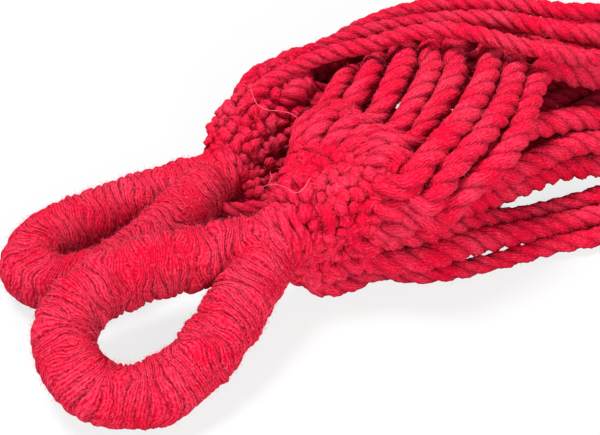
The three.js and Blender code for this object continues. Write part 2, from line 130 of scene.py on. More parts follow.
FAR_ROPES = [
    [(-0.395, 0.0255, 0.041), (-0.386, 0.021, 0.0455), (-0.3775, 0.0145, 0.05), (-0.3685, 0.0105, 0.054),
     (-0.357, 0.0045, 0.0575), (-0.348, -0.0025, 0.0585), (-0.3415, -0.0095, 0.0585),
     (-0.333, -0.015, 0.057), (-0.3225, -0.017, 0.054), (-0.311, -0.0165, 0.05), (-0.28, -0.015, 0.0475)],
    [(-0.3955, 0.036, 0.0365), (-0.38, 0.033, 0.0425), (-0.3655, 0.0265, 0.0485), (-0.35, 0.019, 0.0525),
     (-0.3325, 0.0085, 0.0555), (-0.3225, -0.001, 0.056), (-0.313, -0.008, 0.0555),
     (-0.304, -0.0105, 0.0545), (-0.28, -0.0095, 0.0525)],
    [(-0.385, 0.0415, 0.0345), (-0.374, 0.0435, 0.0385), (-0.363, 0.0435, 0.042), (-0.352, 0.0415, 0.045),
     (-0.335, 0.032, 0.0495), (-0.319, 0.0185, 0.053), (-0.306, 0.005, 0.0555), (-0.28, -0.001, 0.056)],
    [(-0.384, 0.0469, 0.0304), (-0.37, 0.0488, 0.0339), (-0.35, 0.0469, 0.04), (-0.325, 0.04, 0.0543),
     (-0.3, 0.028, 0.057), (-0.275, 0.0165, 0.0575)],
    [(-0.384, 0.0523, 0.0263), (-0.37, 0.0541, 0.0295), (-0.35, 0.0523, 0.035), (-0.325, 0.048, 0.0503),
     (-0.3, 0.036, 0.055), (-0.275, 0.0243, 0.056)],
    [(-0.384, 0.0577, 0.0222), (-0.37, 0.0594, 0.0251), (-0.35, 0.0577, 0.03), (-0.325, 0.0555, 0.0457),
     (-0.3, 0.0435, 0.0517), (-0.275, 0.0317, 0.053)],
    [(-0.384, 0.0631, 0.0181), (-0.37, 0.0647, 0.0207), (-0.35, 0.0631, 0.025), (-0.325, 0.062, 0.0403),
     (-0.3, 0.0505, 0.0475), (-0.275, 0.0388, 0.0493)],
    [(-0.384, 0.0685, 0.014), (-0.37, 0.07, 0.0163), (-0.35, 0.0685, 0.02), (-0.325, 0.0675, 0.0343),
     (-0.3, 0.0565, 0.0423), (-0.275, 0.0452, 0.0447)],
    [(-0.4, 0.012, 0.013), (-0.388, 0.012, 0.009), (-0.371, 0.008, 0.0046), (-0.35, 0.003, 0.0038),
     (-0.325, 0, 0.0038), (-0.305, 0, 0.0038), (-0.285, 0.0065, 0.0046), (-0.265, 0.018, 0.0085),
     (-0.247, 0.0315, 0.0125), (-0.231, 0.044, 0.0172), (-0.217, 0.0477, 0.0268), (-0.205, 0.0436, 0.0348)],
    [(-0.399, 0.018, 0.021), (-0.388, 0.02, 0.016), (-0.371, 0.019, 0.008), (-0.35, 0.014, 0.004),
     (-0.325, 0.0115, 0.0038), (-0.305, 0.0115, 0.0038), (-0.285, 0.018, 0.0042), (-0.265, 0.0295, 0.0068),
     (-0.247, 0.042, 0.01), (-0.231, 0.052, 0.0153), (-0.217, 0.0539, 0.0226), (-0.205, 0.0498, 0.0294)],
    [(-0.398, 0.024, 0.029), (-0.388, 0.03, 0.022), (-0.371, 0.032, 0.011), (-0.35, 0.026, 0.0046),
     (-0.325, 0.023, 0.0038), (-0.305, 0.023, 0.0038), (-0.285, 0.029, 0.0038), (-0.265, 0.04, 0.0048),
     (-0.247, 0.052, 0.0065), (-0.231, 0.0594, 0.0117), (-0.217, 0.0594, 0.0178), (-0.205, 0.0554, 0.0236)],
    [(-0.384, 0.0739, 0.0099), (-0.37, 0.071, 0.0086), (-0.35, 0.056, 0.005), (-0.334, 0.0405, 0.004),
     (-0.315, 0.0345, 0.0038), (-0.3, 0.0355, 0.0038), (-0.285, 0.0405, 0.0038), (-0.265, 0.051, 0.0038),
     (-0.247, 0.0615, 0.0048), (-0.231, 0.0665, 0.0085), (-0.217, 0.0652, 0.0128), (-0.205, 0.0613, 0.017)],
    [(-0.384, 0.0793, 0.0058), (-0.37, 0.08, 0.0042), (-0.35, 0.0685, 0.0037), (-0.334, 0.0525, 0.0037),
     (-0.315, 0.0455, 0.0037), (-0.3, 0.046, 0.0037), (-0.285, 0.051, 0.0037), (-0.265, 0.061, 0.0037),
     (-0.247, 0.0705, 0.0037), (-0.231, 0.075, 0.0046), (-0.217, 0.0725, 0.0075), (-0.205, 0.067, 0.011)],
    [(-0.384, 0.0872, 0.0037), (-0.37, 0.0885, 0.0037), (-0.35, 0.0805, 0.0037), (-0.334, 0.0645, 0.0037),
     (-0.315, 0.0565, 0.0037), (-0.3, 0.057, 0.0037), (-0.285, 0.0615, 0.0037), (-0.265, 0.071, 0.0037),
     (-0.247, 0.079, 0.0037), (-0.231, 0.083, 0.0037), (-0.217, 0.0805, 0.0037), (-0.205, 0.0735, 0.0044)],
]
NEAR_HOLES = [
    (-0.054, 0.005), (-0.045, 0.005), (-0.0345, 0.0052), (-0.0275, 0.011), (-0.026, 0.019),
    (-0.023, 0.027), (-0.009, 0.034), (-0.001, 0.0375), (0.0065, 0.0395), (0.014, 0.0395), (0.021, 0.0375),
    (0.028, 0.0345), (0.0345, 0.0305), (0.04, 0.025),
]
FAR_HOLES = [
    (-0.014, 0.046), (-0.009, 0.0515), (-0.002, 0.0545), (0.006, 0.055), (0.0135, 0.053), (0.021, 0.05),
    (0.028, 0.0465), (0.035, 0.0425), (0.0415, 0.0375), (0.0475, 0.032), (0.053, 0.026), (0.058, 0.0205),
    (0.0625, 0.0145), (0.066, 0.0076),
]


def smooth_span(a, b, c, d, t, x):
    """The point at x of a smooth curve between b and c, with a before and d after them."""
    ab = (a * (t[1] - x) + b * (x - t[0])) / (t[1] - t[0])
    bc = (b * (t[2] - x) + c * (x - t[1])) / (t[2] - t[1])
    cd = (c * (t[3] - x) + d * (x - t[2])) / (t[3] - t[2])
    abc = (ab * (t[2] - x) + bc * (x - t[0])) / (t[2] - t[0])
    bcd = (bc * (t[3] - x) + cd * (x - t[1])) / (t[3] - t[1])
    return (abc * (t[2] - x) + bcd * (x - t[1])) / (t[2] - t[1])


def knots_of(a, b, c, d):
    """The spacing of four points of a curve, by the square roots of the distances between them."""
    return np.cumsum([0] + [np.linalg.norm(gap) ** 0.5 for gap in (b - a, c - b, d - c)])


def with_ends(points):
    """The points, with one more before and after them for a curve through all of them."""
    p = np.array(points, float)
    return np.vstack([2 * p[0] - p[1], p, 2 * p[-1] - p[-2]])


def run_along(line):
    """The length so far at each point of a line."""
    return np.concatenate([[0], np.cumsum(np.linalg.norm(np.diff(line, axis=0), axis=1))])


def smooth_line(points, step):
    """Points every step along the smooth curve through the given ones, and the length so far at each."""
    p = with_ends(points)
    line = []
    for a, b, c, d in zip(p, p[1:], p[2:], p[3:]):
        t = knots_of(a, b, c, d)
        for x in np.linspace(t[1], t[2], SPAN_STEPS, endpoint=False):
            line.append(smooth_span(a, b, c, d, t, x))
    line.append(p[-2])
    line = np.array(line)
    run = run_along(line)
    even = np.linspace(0, run[-1], max(2, round(run[-1] / step) + 1))
    return np.stack([np.interp(even, run, line[:, k]) for k in range(3)], axis=1), even


def unit(v):
    """Vectors drawn out or in to a length of 1."""
    return v / np.linalg.norm(v, axis=-1, keepdims=True)


def ripple(rng, lengths, *coordinates):
    """A smooth random wave from -1 to 1 over the given coordinates, with about these wavelengths."""
    total = 0
    for _ in range(5):
        total = total + np.sin(sum(
            c * (2 * math.pi / size) * rng.uniform(-1.3, 1.3) for c, size in zip(coordinates, lengths)
        ) + rng.uniform(0, 6.3))
    return total / 3


def side_directions(line):
    """Two directions square to a line at each point, which turn no more than the line does."""
    along = unit(np.gradient(line, axis=0))
    start = np.cross(along[0], (0, 0, 1)) if abs(along[0][2]) < 0.9 else np.cross(along[0], (1, 0, 0))
    first = [unit(start)]
    for direction in along[1:]:
        carried = first[-1] - direction * first[-1].dot(direction)
        first.append(unit(carried))
    first = np.array(first)
    return first, np.cross(along, first)


def mesh_piece(name, vertices, faces, places):
    """A smooth mesh as a new object, with a UV place for each corner of each face."""
    mesh = bpy.data.meshes.new(name)
    mesh.from_pydata(vertices.tolist(), [], faces)
    mesh.uv_layers.new(name="UVMap").data.foreach_set("uv", places.ravel())
    mesh.polygons.foreach_set("use_smooth", [True] * len(mesh.polygons))
    piece = bpy.data.objects.new(name, mesh)
    scene.collection.objects.link(piece)
    return piece


def skin(name, rings, u, v):
    """A closed mesh over rings of points, capped at both ends, with u across and v along as its UV map."""
    count, sides = rings.shape[:2]
    i, j = (index.ravel() for index in np.meshgrid(np.arange(count - 1), np.arange(sides), indexing="ij"))
    k = (j + 1) % sides
    quads = np.stack([i * sides + j, i * sides + k, (i + 1) * sides + k, (i + 1) * sides + j], axis=1)
    places = np.stack([
        np.stack([u[i, j], v[i, j]], axis=1), np.stack([u[i, j + 1], v[i, k]], axis=1),
        np.stack([u[i + 1, j + 1], v[i + 1, k]], axis=1), np.stack([u[i + 1, j], v[i + 1, j]], axis=1),
    ], axis=1).reshape(-1, 2)
    vertices = np.vstack([rings.reshape(-1, 3), rings[0].mean(axis=0), rings[-1].mean(axis=0)])
    faces = quads.tolist()
    low, high, base = count * sides, count * sides + 1, (count - 1) * sides
    for a in range(sides):
        b = (a + 1) % sides
        faces += [(low, b, a), (high, base + a, base + b)]
    return mesh_piece(name, vertices, faces, np.vstack([places, np.zeros((6 * sides, 2))]))


def laid_strands(line, run, thickness, lay, start, rng):
    """Rings of a rope of round strands laid round each other, with a coordinate across and along them."""
    across, up = side_directions(line)
    share = np.arange(ROPE_SIDES + 1) / ROPE_SIDES
    within = (share * ROPE_STRANDS) % 1 - 0.5  # across one strand, from groove to groove
    bearing = within * 2 * math.pi / ROPE_STRANDS
    reach = STRAND_CENTRE * np.cos(bearing) + np.sqrt(
        STRAND_RADIUS**2 - (STRAND_CENTRE * np.sin(bearing)) ** 2)
    turn = 2 * math.pi * (share[None, :] + (run / lay)[:, None]) + start
    round_rope = 2 * math.pi * share[None, :]
    lumps = ripple(rng, (0.006, 0.9, 0.9), run[:, None], np.cos(round_rope), np.sin(round_rope))
    radius = thickness[:, None] * reach[None, :] * (1 + STRAND_LUMPS * lumps)
    turn = turn + 0.5 * ripple(rng, (0.05,), run)[:, None]
    rings = (line[:, None] + across[:, None] * (radius * np.cos(turn))[..., None]
             + up[:, None] * (radius * np.sin(turn))[..., None])[:, :-1]
    return rings, np.broadcast_to(share * ROPE_STRANDS, turn.shape), np.broadcast_to(run[:, None], turn.shape)


def rope_route(points, hole, start):
    """A rope's chosen points, then its straight run in the bundle and into the hem."""
    end = HEM_FRONT + ROPE_BURY
    return list(points) + [(start + (end - start) * i / 3, *hole) for i in range(4)]


# Each rope comes out of its clew's weave, so its first stretch lies plaited into the pad: how far back
# along the pad it starts, as a share of the pad's length, and the pad's own surface.
PLAITED = {
    "near": [0.25, 0.2, 0.2, 0.2, 0.25, 0.3, 0.2, 0.2, 0.25, 0.35, 0.45, 0.5, 0.5, 0.5],
    "far": [0.45, 0.45, 0.4, 0.3, 0.3, 0.3, 0.3, 0.3, 0.2, 0.2, 0.2, 0.3, 0.3, 0.3],
}
# An eye points from its neck along turn and dip, rolled about that line, in degrees. Reach and width are its
# loop's, along the middle of the whipping; split parts its arms at the neck, and lean draws in the back one.
# Girth scales its thickness, and tip is how much thinner it is at its far end.
EYES = {
    "near": {"neck": (-0.4335, -0.048, 0.024), "turn": 200.8, "dip": 8.8, "roll": -19.2,
             "reach": 0.0694, "width": 0.0360, "split": 0.0020, "lean": 0.0014,
             "girth": 1.02, "tip": 0.06},
    "far": {"neck": (-0.4385, 0.0045, 0.0134), "turn": 203.2, "dip": 3.3, "roll": 2.5,
            "reach": 0.0686, "width": 0.0284, "split": 0.0016, "lean": 0.0016,
            "girth": 0.985, "tip": 0.0},
}
CLEW_NECK = 0.0077  # behind the neck, just past the binding
CLEW_NECK_RADIUS = 0.005
# A clew's strands leave the neck over the wrap, in degrees round it, and bend by its middle to its edge
CLEWS = {
    "near": {
        "wrap": (-95, 150),
        "middle": [(-0.425, -0.0470, 0.0104), (-0.4205, -0.0485, 0.017), (-0.412, -0.0505, 0.0245),
                   (-0.407, -0.0515, 0.032), (-0.407, -0.048, 0.038), (-0.4085, -0.039, 0.041),
                   (-0.413, -0.031, 0.0415), (-0.418, -0.0275, 0.0395)],
        "edge": [(-0.413, -0.0485, 0.0066), (-0.4110, -0.0505, 0.0105), (-0.402, -0.053, 0.015),
                 (-0.397, -0.0545, 0.023), (-0.388, -0.057, 0.030), (-0.386, -0.0575, 0.0375),
                 (-0.391, -0.050, 0.044), (-0.387, -0.034, 0.0435), (-0.390, -0.020, 0.042),
                 (-0.395, -0.008, 0.040), (-0.402, -0.0035, 0.0365)],
    },
    "far": {
        "wrap": (-94, 210),
        "middle": [(-0.423, -0.006, 0.007), (-0.420, 0.002, 0.0125), (-0.4185, 0.007, 0.022),
                   (-0.422, 0.0125, 0.0276), (-0.4278, 0.0205, 0.0266), (-0.4155, 0.029, 0.027),
                   (-0.406, 0.036, 0.0225), (-0.405, 0.041, 0.0175), (-0.406, 0.0455, 0.0125),
                   (-0.407, 0.0495, 0.0085)],
        "edge": [(-0.402, -0.009, 0.0049), (-0.396, 0.008, 0.009), (-0.395, 0.014, 0.020),
                 (-0.395, 0.0205, 0.0315), (-0.397, 0.028, 0.0380), (-0.395, 0.037, 0.0345),
                 (-0.376, 0.0425, 0.0305), (-0.366, 0.053, 0.023), (-0.364, 0.064, 0.0155),
                 (-0.368, 0.076, 0.0095), (-0.374, 0.087, 0.0048)],
    },
}


def eye_axes(eye):
    """The directions to the tip of an eye, level across it, up from it, and across the loop."""
    turn, dip, roll = (math.radians(eye[key]) for key in ("turn", "dip", "roll"))
    along = np.array([math.cos(turn) * math.cos(dip), math.sin(turn) * math.cos(dip), -math.sin(dip)])
    level = np.array([-math.sin(turn), math.cos(turn), 0])
    raised = np.cross(along, level)
    return along, level, raised, level * math.cos(roll) + raised * math.sin(roll)


def row_point(row, share):
    """A point of a smooth row, where share counts its given points evenly."""
    spot = np.clip(share, 0, 1) * (len(row) - 1)
    i = min(int(spot), len(row) - 2)
    a, b, c, d = with_ends(row)[i:i + 4]
    t = knots_of(a, b, c, d)
    return smooth_span(a, b, c, d, t, t[1] + (t[2] - t[1]) * (spot - i))


def clew_grid(side, columns, rows):
    """The clew's middle surface and its outward directions on an even grid across and along it."""
    eye, clew = EYES[side], CLEWS[side]
    along, level, raised, _ = eye_axes(eye)
    root = np.array(eye["neck"]) - along * CLEW_NECK
    v = np.linspace(0, 1, rows)[:, None]
    grid = []
    for u in np.linspace(0, 1, columns):
        angle = math.radians(clew["wrap"][0] + (clew["wrap"][1] - clew["wrap"][0]) * u)
        first = root + CLEW_NECK_RADIUS * (level * math.cos(angle) + raised * math.sin(angle))
        last = row_point(clew["edge"], u)
        bend = 2 * row_point(clew["middle"], u) - (first + last) / 2
        grid.append(first * (1 - v) ** 2 + 2 * bend * v * (1 - v) + last * v**2)
    grid = np.array(grid)
    out = unit(np.cross(np.gradient(grid, axis=0), np.gradient(grid, axis=1)))
    if np.mean(out @ np.array([0, -0.6, 0.8])) < 0:  # most of it faces up and to the front
        out = -out
    return grid, out


def on_grid(grid, u, v):
    """Values of a grid at shares u across and v along it."""
    columns, rows = grid.shape[:2]
    x, y = np.clip(u, 0, 1) * (columns - 1), np.clip(v, 0, 1) * (rows - 1)
    i, j = np.minimum(x.astype(int), columns - 2), np.minimum(y.astype(int), rows - 2)
    p, q = (x - i)[:, None], (y - j)[:, None]
    return ((grid[i, j] * (1 - p) + grid[i + 1, j] * p) * (1 - q)
            + (grid[i, j + 1] * (1 - p) + grid[i + 1, j + 1] * p) * q)


def plaited_start(side, number, points):
    """Two points of a rope's stretch inside its clew's weave, leading up to the first of its route."""
    columns, rows = 61, 31
    grid, out = clew_grid(side, columns, rows)
    first_row = 6  # the ropes leave the pad behind its plain wraps
    gap = np.linalg.norm(grid[:, first_row:] - np.array(points[0]), axis=2)
    i, j = np.unravel_index(gap.argmin(), gap.shape)
    u, v = i / (columns - 1), (j + first_row) / (rows - 1)
    back = PLAITED[side][number - 1]
    u, v = np.array([u, u]), np.maximum(np.array([v - back, v - back * 0.5]), 0.12)
    lift = np.array([[0.0012], [0.0030]])  # it rises out of the weave
    return (on_grid(grid, u, v) + on_grid(out, u, v) * lift).tolist()


# How much thicker each rope is where it lies limp than where the bundle pulls it
SLACK = {
    "near": [0.96, 1.3, 1.32, 1.32, 1.3, 1.26, 1.26, 1.26, 1.26, 1.26, 1.26, 1.26, 1.24, 1.18],
    "far": [0.90, 0.92, 0.94, 0.96, 0.98, 0.98, 0.99, 1.0, 1.3, 1.3, 1.3, 1.28, 1.26, 1.24],
}
LIMP_LENGTH = 0.175
LIMP_FADE = 0.010
wobble = np.random.default_rng(11)
ropes = []
for side, routes, holes in (("near", NEAR_ROPES, NEAR_HOLES), ("far", FAR_ROPES, FAR_HOLES)):
    for number, (points, hole) in enumerate(zip(routes, holes), 1):
        route = plaited_start(side, number, points) + rope_route(points, hole, BUNDLE_START[side])
        line, run = smooth_line(route, ROPE_STEP)
        loose = 1 + 0.03 * np.sin(run / 0.017 + wobble.uniform(0, 6)) + 0.02 * np.sin(run / 0.006)
        limp = 1 + (SLACK[side][number - 1] - 1) / (1 + np.exp((run - LIMP_LENGTH) / LIMP_FADE))
        bulge = 0.05 * np.exp(-(((run - 0.012) / 0.010) ** 2))  # as it comes out of the weave
        tuck = 0.45 * np.exp(-((run / 0.005) ** 2))  # its hidden end
        lay = ROPE_LAY[side] * wobble.uniform(0.92, 1.1)
        rings, u, v = laid_strands(line, run, ROPE_THICKNESS * loose * (limp + bulge - tuck), lay,
                                   wobble.uniform(0, 6), wobble)
        rope = skin(f"{side}_rope_{number:02d}_laid", rings, u, v)
        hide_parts(f"{side}_rope_{number:02d}")
        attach(rope, "hammock")
        ropes.append(rope)


def linear(colour):
    """An sRGB hex colour as linear RGBA."""
    parts = [int(colour[i:i + 2], 16) / 255 for i in (1, 3, 5)]
    return [*(c / 12.92 if c <= 0.04045 else ((c + 0.055) / 1.055) ** 2.4 for c in parts), 1]


def add(tree, kind, inputs=(), output=0, **settings):
    """Adds a node with its settings and its inputs' values or links, and gives one of its outputs."""
    node = tree.nodes.new(kind)
    for name, value in settings.items():
        setattr(node, name, value)
    for socket, value in inputs.items() if isinstance(inputs, dict) else enumerate(inputs):
        if isinstance(value, bpy.types.NodeSocket):
            tree.links.new(value, node.inputs[socket])
        else:
            node.inputs[socket].default_value = value
    return node.outputs[output] if len(node.outputs) else None


def finish_of(name, sheen, roughness=0.92):
    """A new material with its shader, for cloth and yarn: rough, with a soft bloom of fibre ends."""
    material = bpy.data.materials.new(name)
    material.use_nodes = True
    tree = material.node_tree
    shader = tree.nodes["Principled BSDF"]
    shader.inputs["Roughness"].default_value = roughness
    shader.inputs["IOR"].default_value = 1.46
    shader.inputs["Specular IOR Level"].default_value = 0.05
    shader.inputs["Sheen Weight"].default_value = sheen
    shader.inputs["Sheen Roughness"].default_value = 0.45
    shader.inputs["Sheen Tint"].default_value = linear("#FF3C5A")
    return material, tree, shader


# Spun and dyed cotton: matt crimson, with painted shade where the yarns meet and a painted highlight on their
# tops, and paler in random flecks where loose ends stand out
YARN_RED = "#DC0A33"
YARN_DEEP = "#6E021A"
YARN_PALE = "#EC4F6C"
YARN_WIDTH = 0.0008  # one yarn of a strand
FIBRE_LENGTH = 0.0018


def yarn_finish(name, slant, strand, lines, down, groove, dull, closed=1.1, deep_share=0.75, depth=0.0003,
                sheen=0.2):
    """Spun cotton for pieces whose UV map runs across a strand (one unit each) and along it in metres.

    slant is the yarns' angle to the strand, strand its width over the surface; lines, down and groove are
    how strongly the yarns, the fibre ends and the painted shade in the seams between strands show, dull is
    the even shade, set higher in the copies with painted shade, and closed the painted shade where pieces
    lie against each other.
    """
    material, tree, shader = finish_of(name, sheen)
    maths = "ShaderNodeMath"
    coordinates = add(tree, "ShaderNodeTexCoord").node.outputs
    uv, place = coordinates["UV"], coordinates["Object"]
    # yarns: slanting ridges that wander by about 4 mm
    drift = add(tree, "ShaderNodeTexNoise", {"Vector": place, "Scale": 260.0, "Detail": 2.0})
    yarn_step = (math.cos(slant) * strand / YARN_WIDTH, math.sin(slant) / YARN_WIDTH, 0)
    phase = add(tree, "ShaderNodeVectorMath", [uv, yarn_step], "Value", operation="DOT_PRODUCT")
    phase = add(tree, maths, [drift, 1.6, phase], operation="MULTIPLY_ADD")
    ridge = add(tree, maths, [phase, math.pi], operation="MULTIPLY")
    ridge = add(tree, maths, [ridge], operation="SINE")
    ridge = add(tree, maths, [ridge], operation="ABSOLUTE")
    # fibres: short streaks along each yarn, about 0.35 mm apart
    fibre_step = (-math.sin(slant) * strand / FIBRE_LENGTH, math.cos(slant) / FIBRE_LENGTH, 0)
    length = add(tree, "ShaderNodeVectorMath", [uv, fibre_step], "Value", operation="DOT_PRODUCT")
    streak = add(tree, maths, [phase, 2.2], operation="MULTIPLY")
    streak = add(tree, "ShaderNodeCombineXYZ", [streak, length])
    fibre = add(tree, "ShaderNodeTexNoise", {"Vector": streak, "Scale": 1.0, "Detail": 3.0})
    cloud = add(tree, "ShaderNodeTexNoise", {"Vector": place, "Scale": 75.0, "Detail": 3.0})
    # painted shade in the seam between strands, deeper in some places than in others
    share = add(tree, "ShaderNodeSeparateXYZ", [uv])
    share = add(tree, maths, [share], operation="FRACT")
    inward = add(tree, maths, [share, 2.0, -1.0], operation="MULTIPLY_ADD")
    inward = add(tree, maths, [inward], operation="ABSOLUTE")
    inward = add(tree, maths, [inward, 4.0], operation="POWER")
    seam_shade_patches = add(tree, maths, [cloud, 2.4, -0.45], operation="MULTIPLY_ADD")
    seam = add(tree, maths, [inward, seam_shade_patches], operation="MULTIPLY", use_clamp=True)
    # down: fibre ends in tufts of about 0.7 mm that stand off the yarns and hide their lines in patches
    tufts = add(tree, "ShaderNodeTexNoise", {
        "Vector": place, "Scale": 1500.0, "Detail": 3.0, "Roughness": 0.65})
    # shade: each cause adds its own part, as its value below or above a middle, times its strength. The yarn
    # ridges give painted shade between the yarns, the fibre ends a random tone.
    shade = add(tree, maths, [seam, groove, dull], operation="MULTIPLY_ADD")
    # painted shade: darker towards the deep red where other pieces close the spot in, within 10 mm
    opening = add(tree, "ShaderNodeAmbientOcclusion", {"Distance": 0.010}, "AO", samples=4)
    for middle, cause, strength, cut in (
        (0.75, ridge, lines, False), (0.5, fibre, down, False), (0.5, tufts, down * 1.5, False),
        (0.8, opening, closed, True),
    ):
        below = add(tree, maths, [middle, cause], operation="SUBTRACT", use_clamp=cut)
        shade = add(tree, maths, [below, strength, shade], operation="MULTIPLY_ADD")
    shade = add(tree, "ShaderNodeMapRange", {"Value": shade, "To Max": deep_share})
    # bloom: the pale ends in random flecks, and a painted highlight on the tops of the yarn ridges
    bloom = add(tree, maths, [fibre, 1.5, -1.35], operation="MULTIPLY_ADD")
    bloom = add(tree, maths, [cloud, 1.6, bloom], operation="MULTIPLY_ADD")
    for cause, middle, strength in ((ridge, 0.55, lines * 0.9), (tufts, 0.5, down * 1.3)):
        above = add(tree, maths, [cause, middle], operation="SUBTRACT")
        bloom = add(tree, maths, [above, strength, bloom], operation="MULTIPLY_ADD")
    bloom = add(tree, "ShaderNodeMapRange", {"Value": bloom, "To Max": 0.75})
    pale = add(tree, "ShaderNodeMix", {"Factor": bloom, "A": linear(YARN_RED), "B": linear(YARN_PALE)},
               "Result", data_type="RGBA")
    deep = add(tree, "ShaderNodeMix", {"Factor": shade, "A": pale, "B": linear(YARN_DEEP)},
               "Result", data_type="RGBA")
    tree.links.new(deep, shader.inputs["Base Color"])
    height = add(tree, maths, [ridge, lines + 0.1], operation="MULTIPLY")
    height = add(tree, maths, [fibre, down * 0.5, height], operation="MULTIPLY_ADD")
    height = add(tree, maths, [tufts, down * 1.2, height], operation="MULTIPLY_ADD")
    bump = add(tree, "ShaderNodeBump", {"Strength": 1.0, "Distance": depth, "Height": height})
    tree.links.new(bump, shader.inputs["Normal"])
    return material


# Laid cotton rope: yarns that slant across each strand and painted shade in the seams between the strands.
# The far ropes under the bundle take a copy with painted shade all over: duller, with less bloom.
rope_cotton = yarn_finish("laid_cotton_rope", slant=math.radians(32), strand=0.0072, lines=0.2, down=0.75,
                          groove=0.9, dull=0.13, depth=0.0005)
shade_painted_rope_cotton = yarn_finish("laid_cotton_rope_under", slant=math.radians(32), strand=0.0072, lines=0.2,
                              down=0.6, groove=1.1, dull=0.32, sheen=0.05)
FIRST_SHADE_PAINTED_ROPE = 9
for rope in ropes:
    # painted shade: the far ropes under the bundle take the darker, duller copy of the rope cotton
    under = rope.name.startswith("far") and int(rope.name.split("_")[2]) >= FIRST_SHADE_PAINTED_ROPE
    rope.data.materials.append(shade_painted_rope_cotton if under else rope_cotton)

# --- Hanging eyes -------------------------------------------------------------------------------------
# Each eye is the bundle of ropes bent round in a teardrop and whipped all the way with one soft cotton
# cord. The turns lie hard against each other, wander a little and stand up unevenly.
EYE_THICKNESS = 0.0187
EYE_TAPER = 1.5
EYE_GAP = 0.2  # the angle at the neck where both ends of the loop stop
EYE_TUCK = 0.0045  # how far they go on behind the neck
EYE_POINTS = 64
TURN_PITCH = 0.0030
TURN_DEPTH = 0.0011
TURN_YARNS = 3
EYE_STEP = 0.00032
EYE_SIDES = 80


def eye_point(eye, angle):
    """A point of the teardrop, from 0 at the neck round the tip to 2 pi at the neck."""
    along, _, _, across = eye_axes(eye)
    widest = 2 * math.atan(math.sqrt(1 + EYE_TAPER))
    swell = math.sin(angle) * abs(math.sin(angle / 2)) ** EYE_TAPER
    most = math.sin(widest) * math.sin(widest / 2) ** EYE_TAPER
    side = eye["width"] / 2 * swell / most + eye["split"] * math.cos(angle / 2)
    if angle > math.pi:  # the back arm lies straighter than the front one
        side += eye["lean"] * math.sin(angle) ** 2
    return np.array(eye["neck"]) + along * eye["reach"] * (1 - math.cos(angle)) / 2 + across * side


def whipped_eye(name, eye, seed):
    """An eye's whipping as one closed skin, with a turn's place and the way along it as its UV map."""
    along, _, _, across = eye_axes(eye)
    plane = np.cross(along, across)
    arc = [eye_point(eye, a) for a in np.linspace(EYE_GAP, 2 * math.pi - EYE_GAP, EYE_POINTS)]
    back = along * EYE_TUCK
    line, run = smooth_line([arc[0] - back, *arc, arc[-1] - back], EYE_STEP)
    tangent = unit(np.gradient(line, axis=0))
    first = unit(-plane + tangent * (tangent @ plane)[:, None])
    second = np.cross(tangent, first)
    share = np.arange(EYE_SIDES + 1) / EYE_SIDES
    s, t = np.meshgrid(run, share, indexing="ij")
    c, d = np.cos(2 * math.pi * t), np.sin(2 * math.pi * t)
    rng = np.random.default_rng(seed)
    phase = s / TURN_PITCH + t + 0.45 * ripple(rng, (0.014, 1.8, 1.8), s, c, d)
    open_turns = np.clip(0.65 + 0.9 * ripple(rng, (0.007, 1.1, 1.1), s, c, d), 0.05, 1.2)
    ridge = 1 - (1 - np.abs(np.sin(math.pi * phase)) ** 0.85) * open_turns
    turn = np.floor(phase).astype(int)
    swell = rng.uniform(0.55, 1.25, turn.max() - turn.min() + 2)[turn - turn.min()]
    yarns = np.abs(np.sin(math.pi * TURN_YARNS * phase + 2 * ripple(rng, (0.01, 1, 1), s, c, d)))
    radius = (EYE_THICKNESS / 2 - 0.0005 + TURN_DEPTH * (ridge * swell - 0.35)
              + 0.00028 * yarns * ridge + 0.00032 * ripple(rng, (0.02, 2, 2), s, c, d))
    near_end = np.minimum(s, run[-1] - s)
    radius *= 1 - 0.16 * np.exp(-((near_end / 0.006) ** 2))
    thin_tip = eye["tip"] * np.exp(-(((s - run[-1] / 2) / 0.02) ** 2))
    radius *= eye["girth"] * (1 - thin_tip)
    rings = (line[:, None] + first[:, None] * (radius * c)[..., None]
             + second[:, None] * (radius * d)[..., None])[:, :-1]
    return skin(name, rings, phase, t * math.pi * EYE_THICKNESS)


# Whipped cotton cord: yarns that run with the turns, painted shade in the seams between them, and the most
# down
whipping_cotton = yarn_finish("whipped_cotton_cord", slant=math.radians(4), strand=0.0026, lines=0.5,
                              down=1.3, groove=0.9, dull=0.03, closed=0.7, depth=0.0004, deep_share=0.85)
eye_meshes = []
for side, seed in (("near", 21), ("far", 34)):
    whipped = whipped_eye(f"{side}_eye_whipped", EYES[side], seed)
    whipped.data.materials.append(whipping_cotton)
    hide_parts(f"{side}_eye_whipping", f"{side}_eye_core")
    eye_meshes.append((whipped, side))

# --- Neck bindings ------------------------------------------------------------------------------------
# A thicker soft cord takes a few hard turns round each neck, where both arms of the eye come together,
# and holds them against the clew. Its two ends are tucked under the turns.
BINDING_THICKNESS = 0.0042
BINDING_TURNS = 3.6
BINDING_POINTS = 170
BINDING_TUCK = 0.004  # how far its ends go in under the turns


def new_group(name, sizes):
    """A geometry nodes group with named inputs after its geometry, and their sockets inside it."""
    tree = bpy.data.node_groups.new(name, "GeometryNodeTree")
    tree.interface.new_socket("Geometry", in_out="INPUT", socket_type="NodeSocketGeometry")
    for label, value in sizes.items():
        kind = {float: "NodeSocketFloat", int: "NodeSocketInt"}[type(value)]
        tree.interface.new_socket(label, in_out="INPUT", socket_type=kind).default_value = value
    tree.interface.new_socket("Material", in_out="INPUT", socket_type="NodeSocketMaterial")
    tree.interface.new_socket("Geometry", in_out="OUTPUT", socket_type="NodeSocketGeometry")
    return tree, add(tree, "NodeGroupInput").node.outputs


def end_group(tree, geometry, material):
    """The last nodes of a group: its copies made real, with their material."""
    whole = add(tree, "GeometryNodeRealizeInstances", [geometry])
    dressed = add(tree, "GeometryNodeSetMaterial", {"Geometry": whole, "Material": material})
    add(tree, "NodeGroupOutput", [dressed])


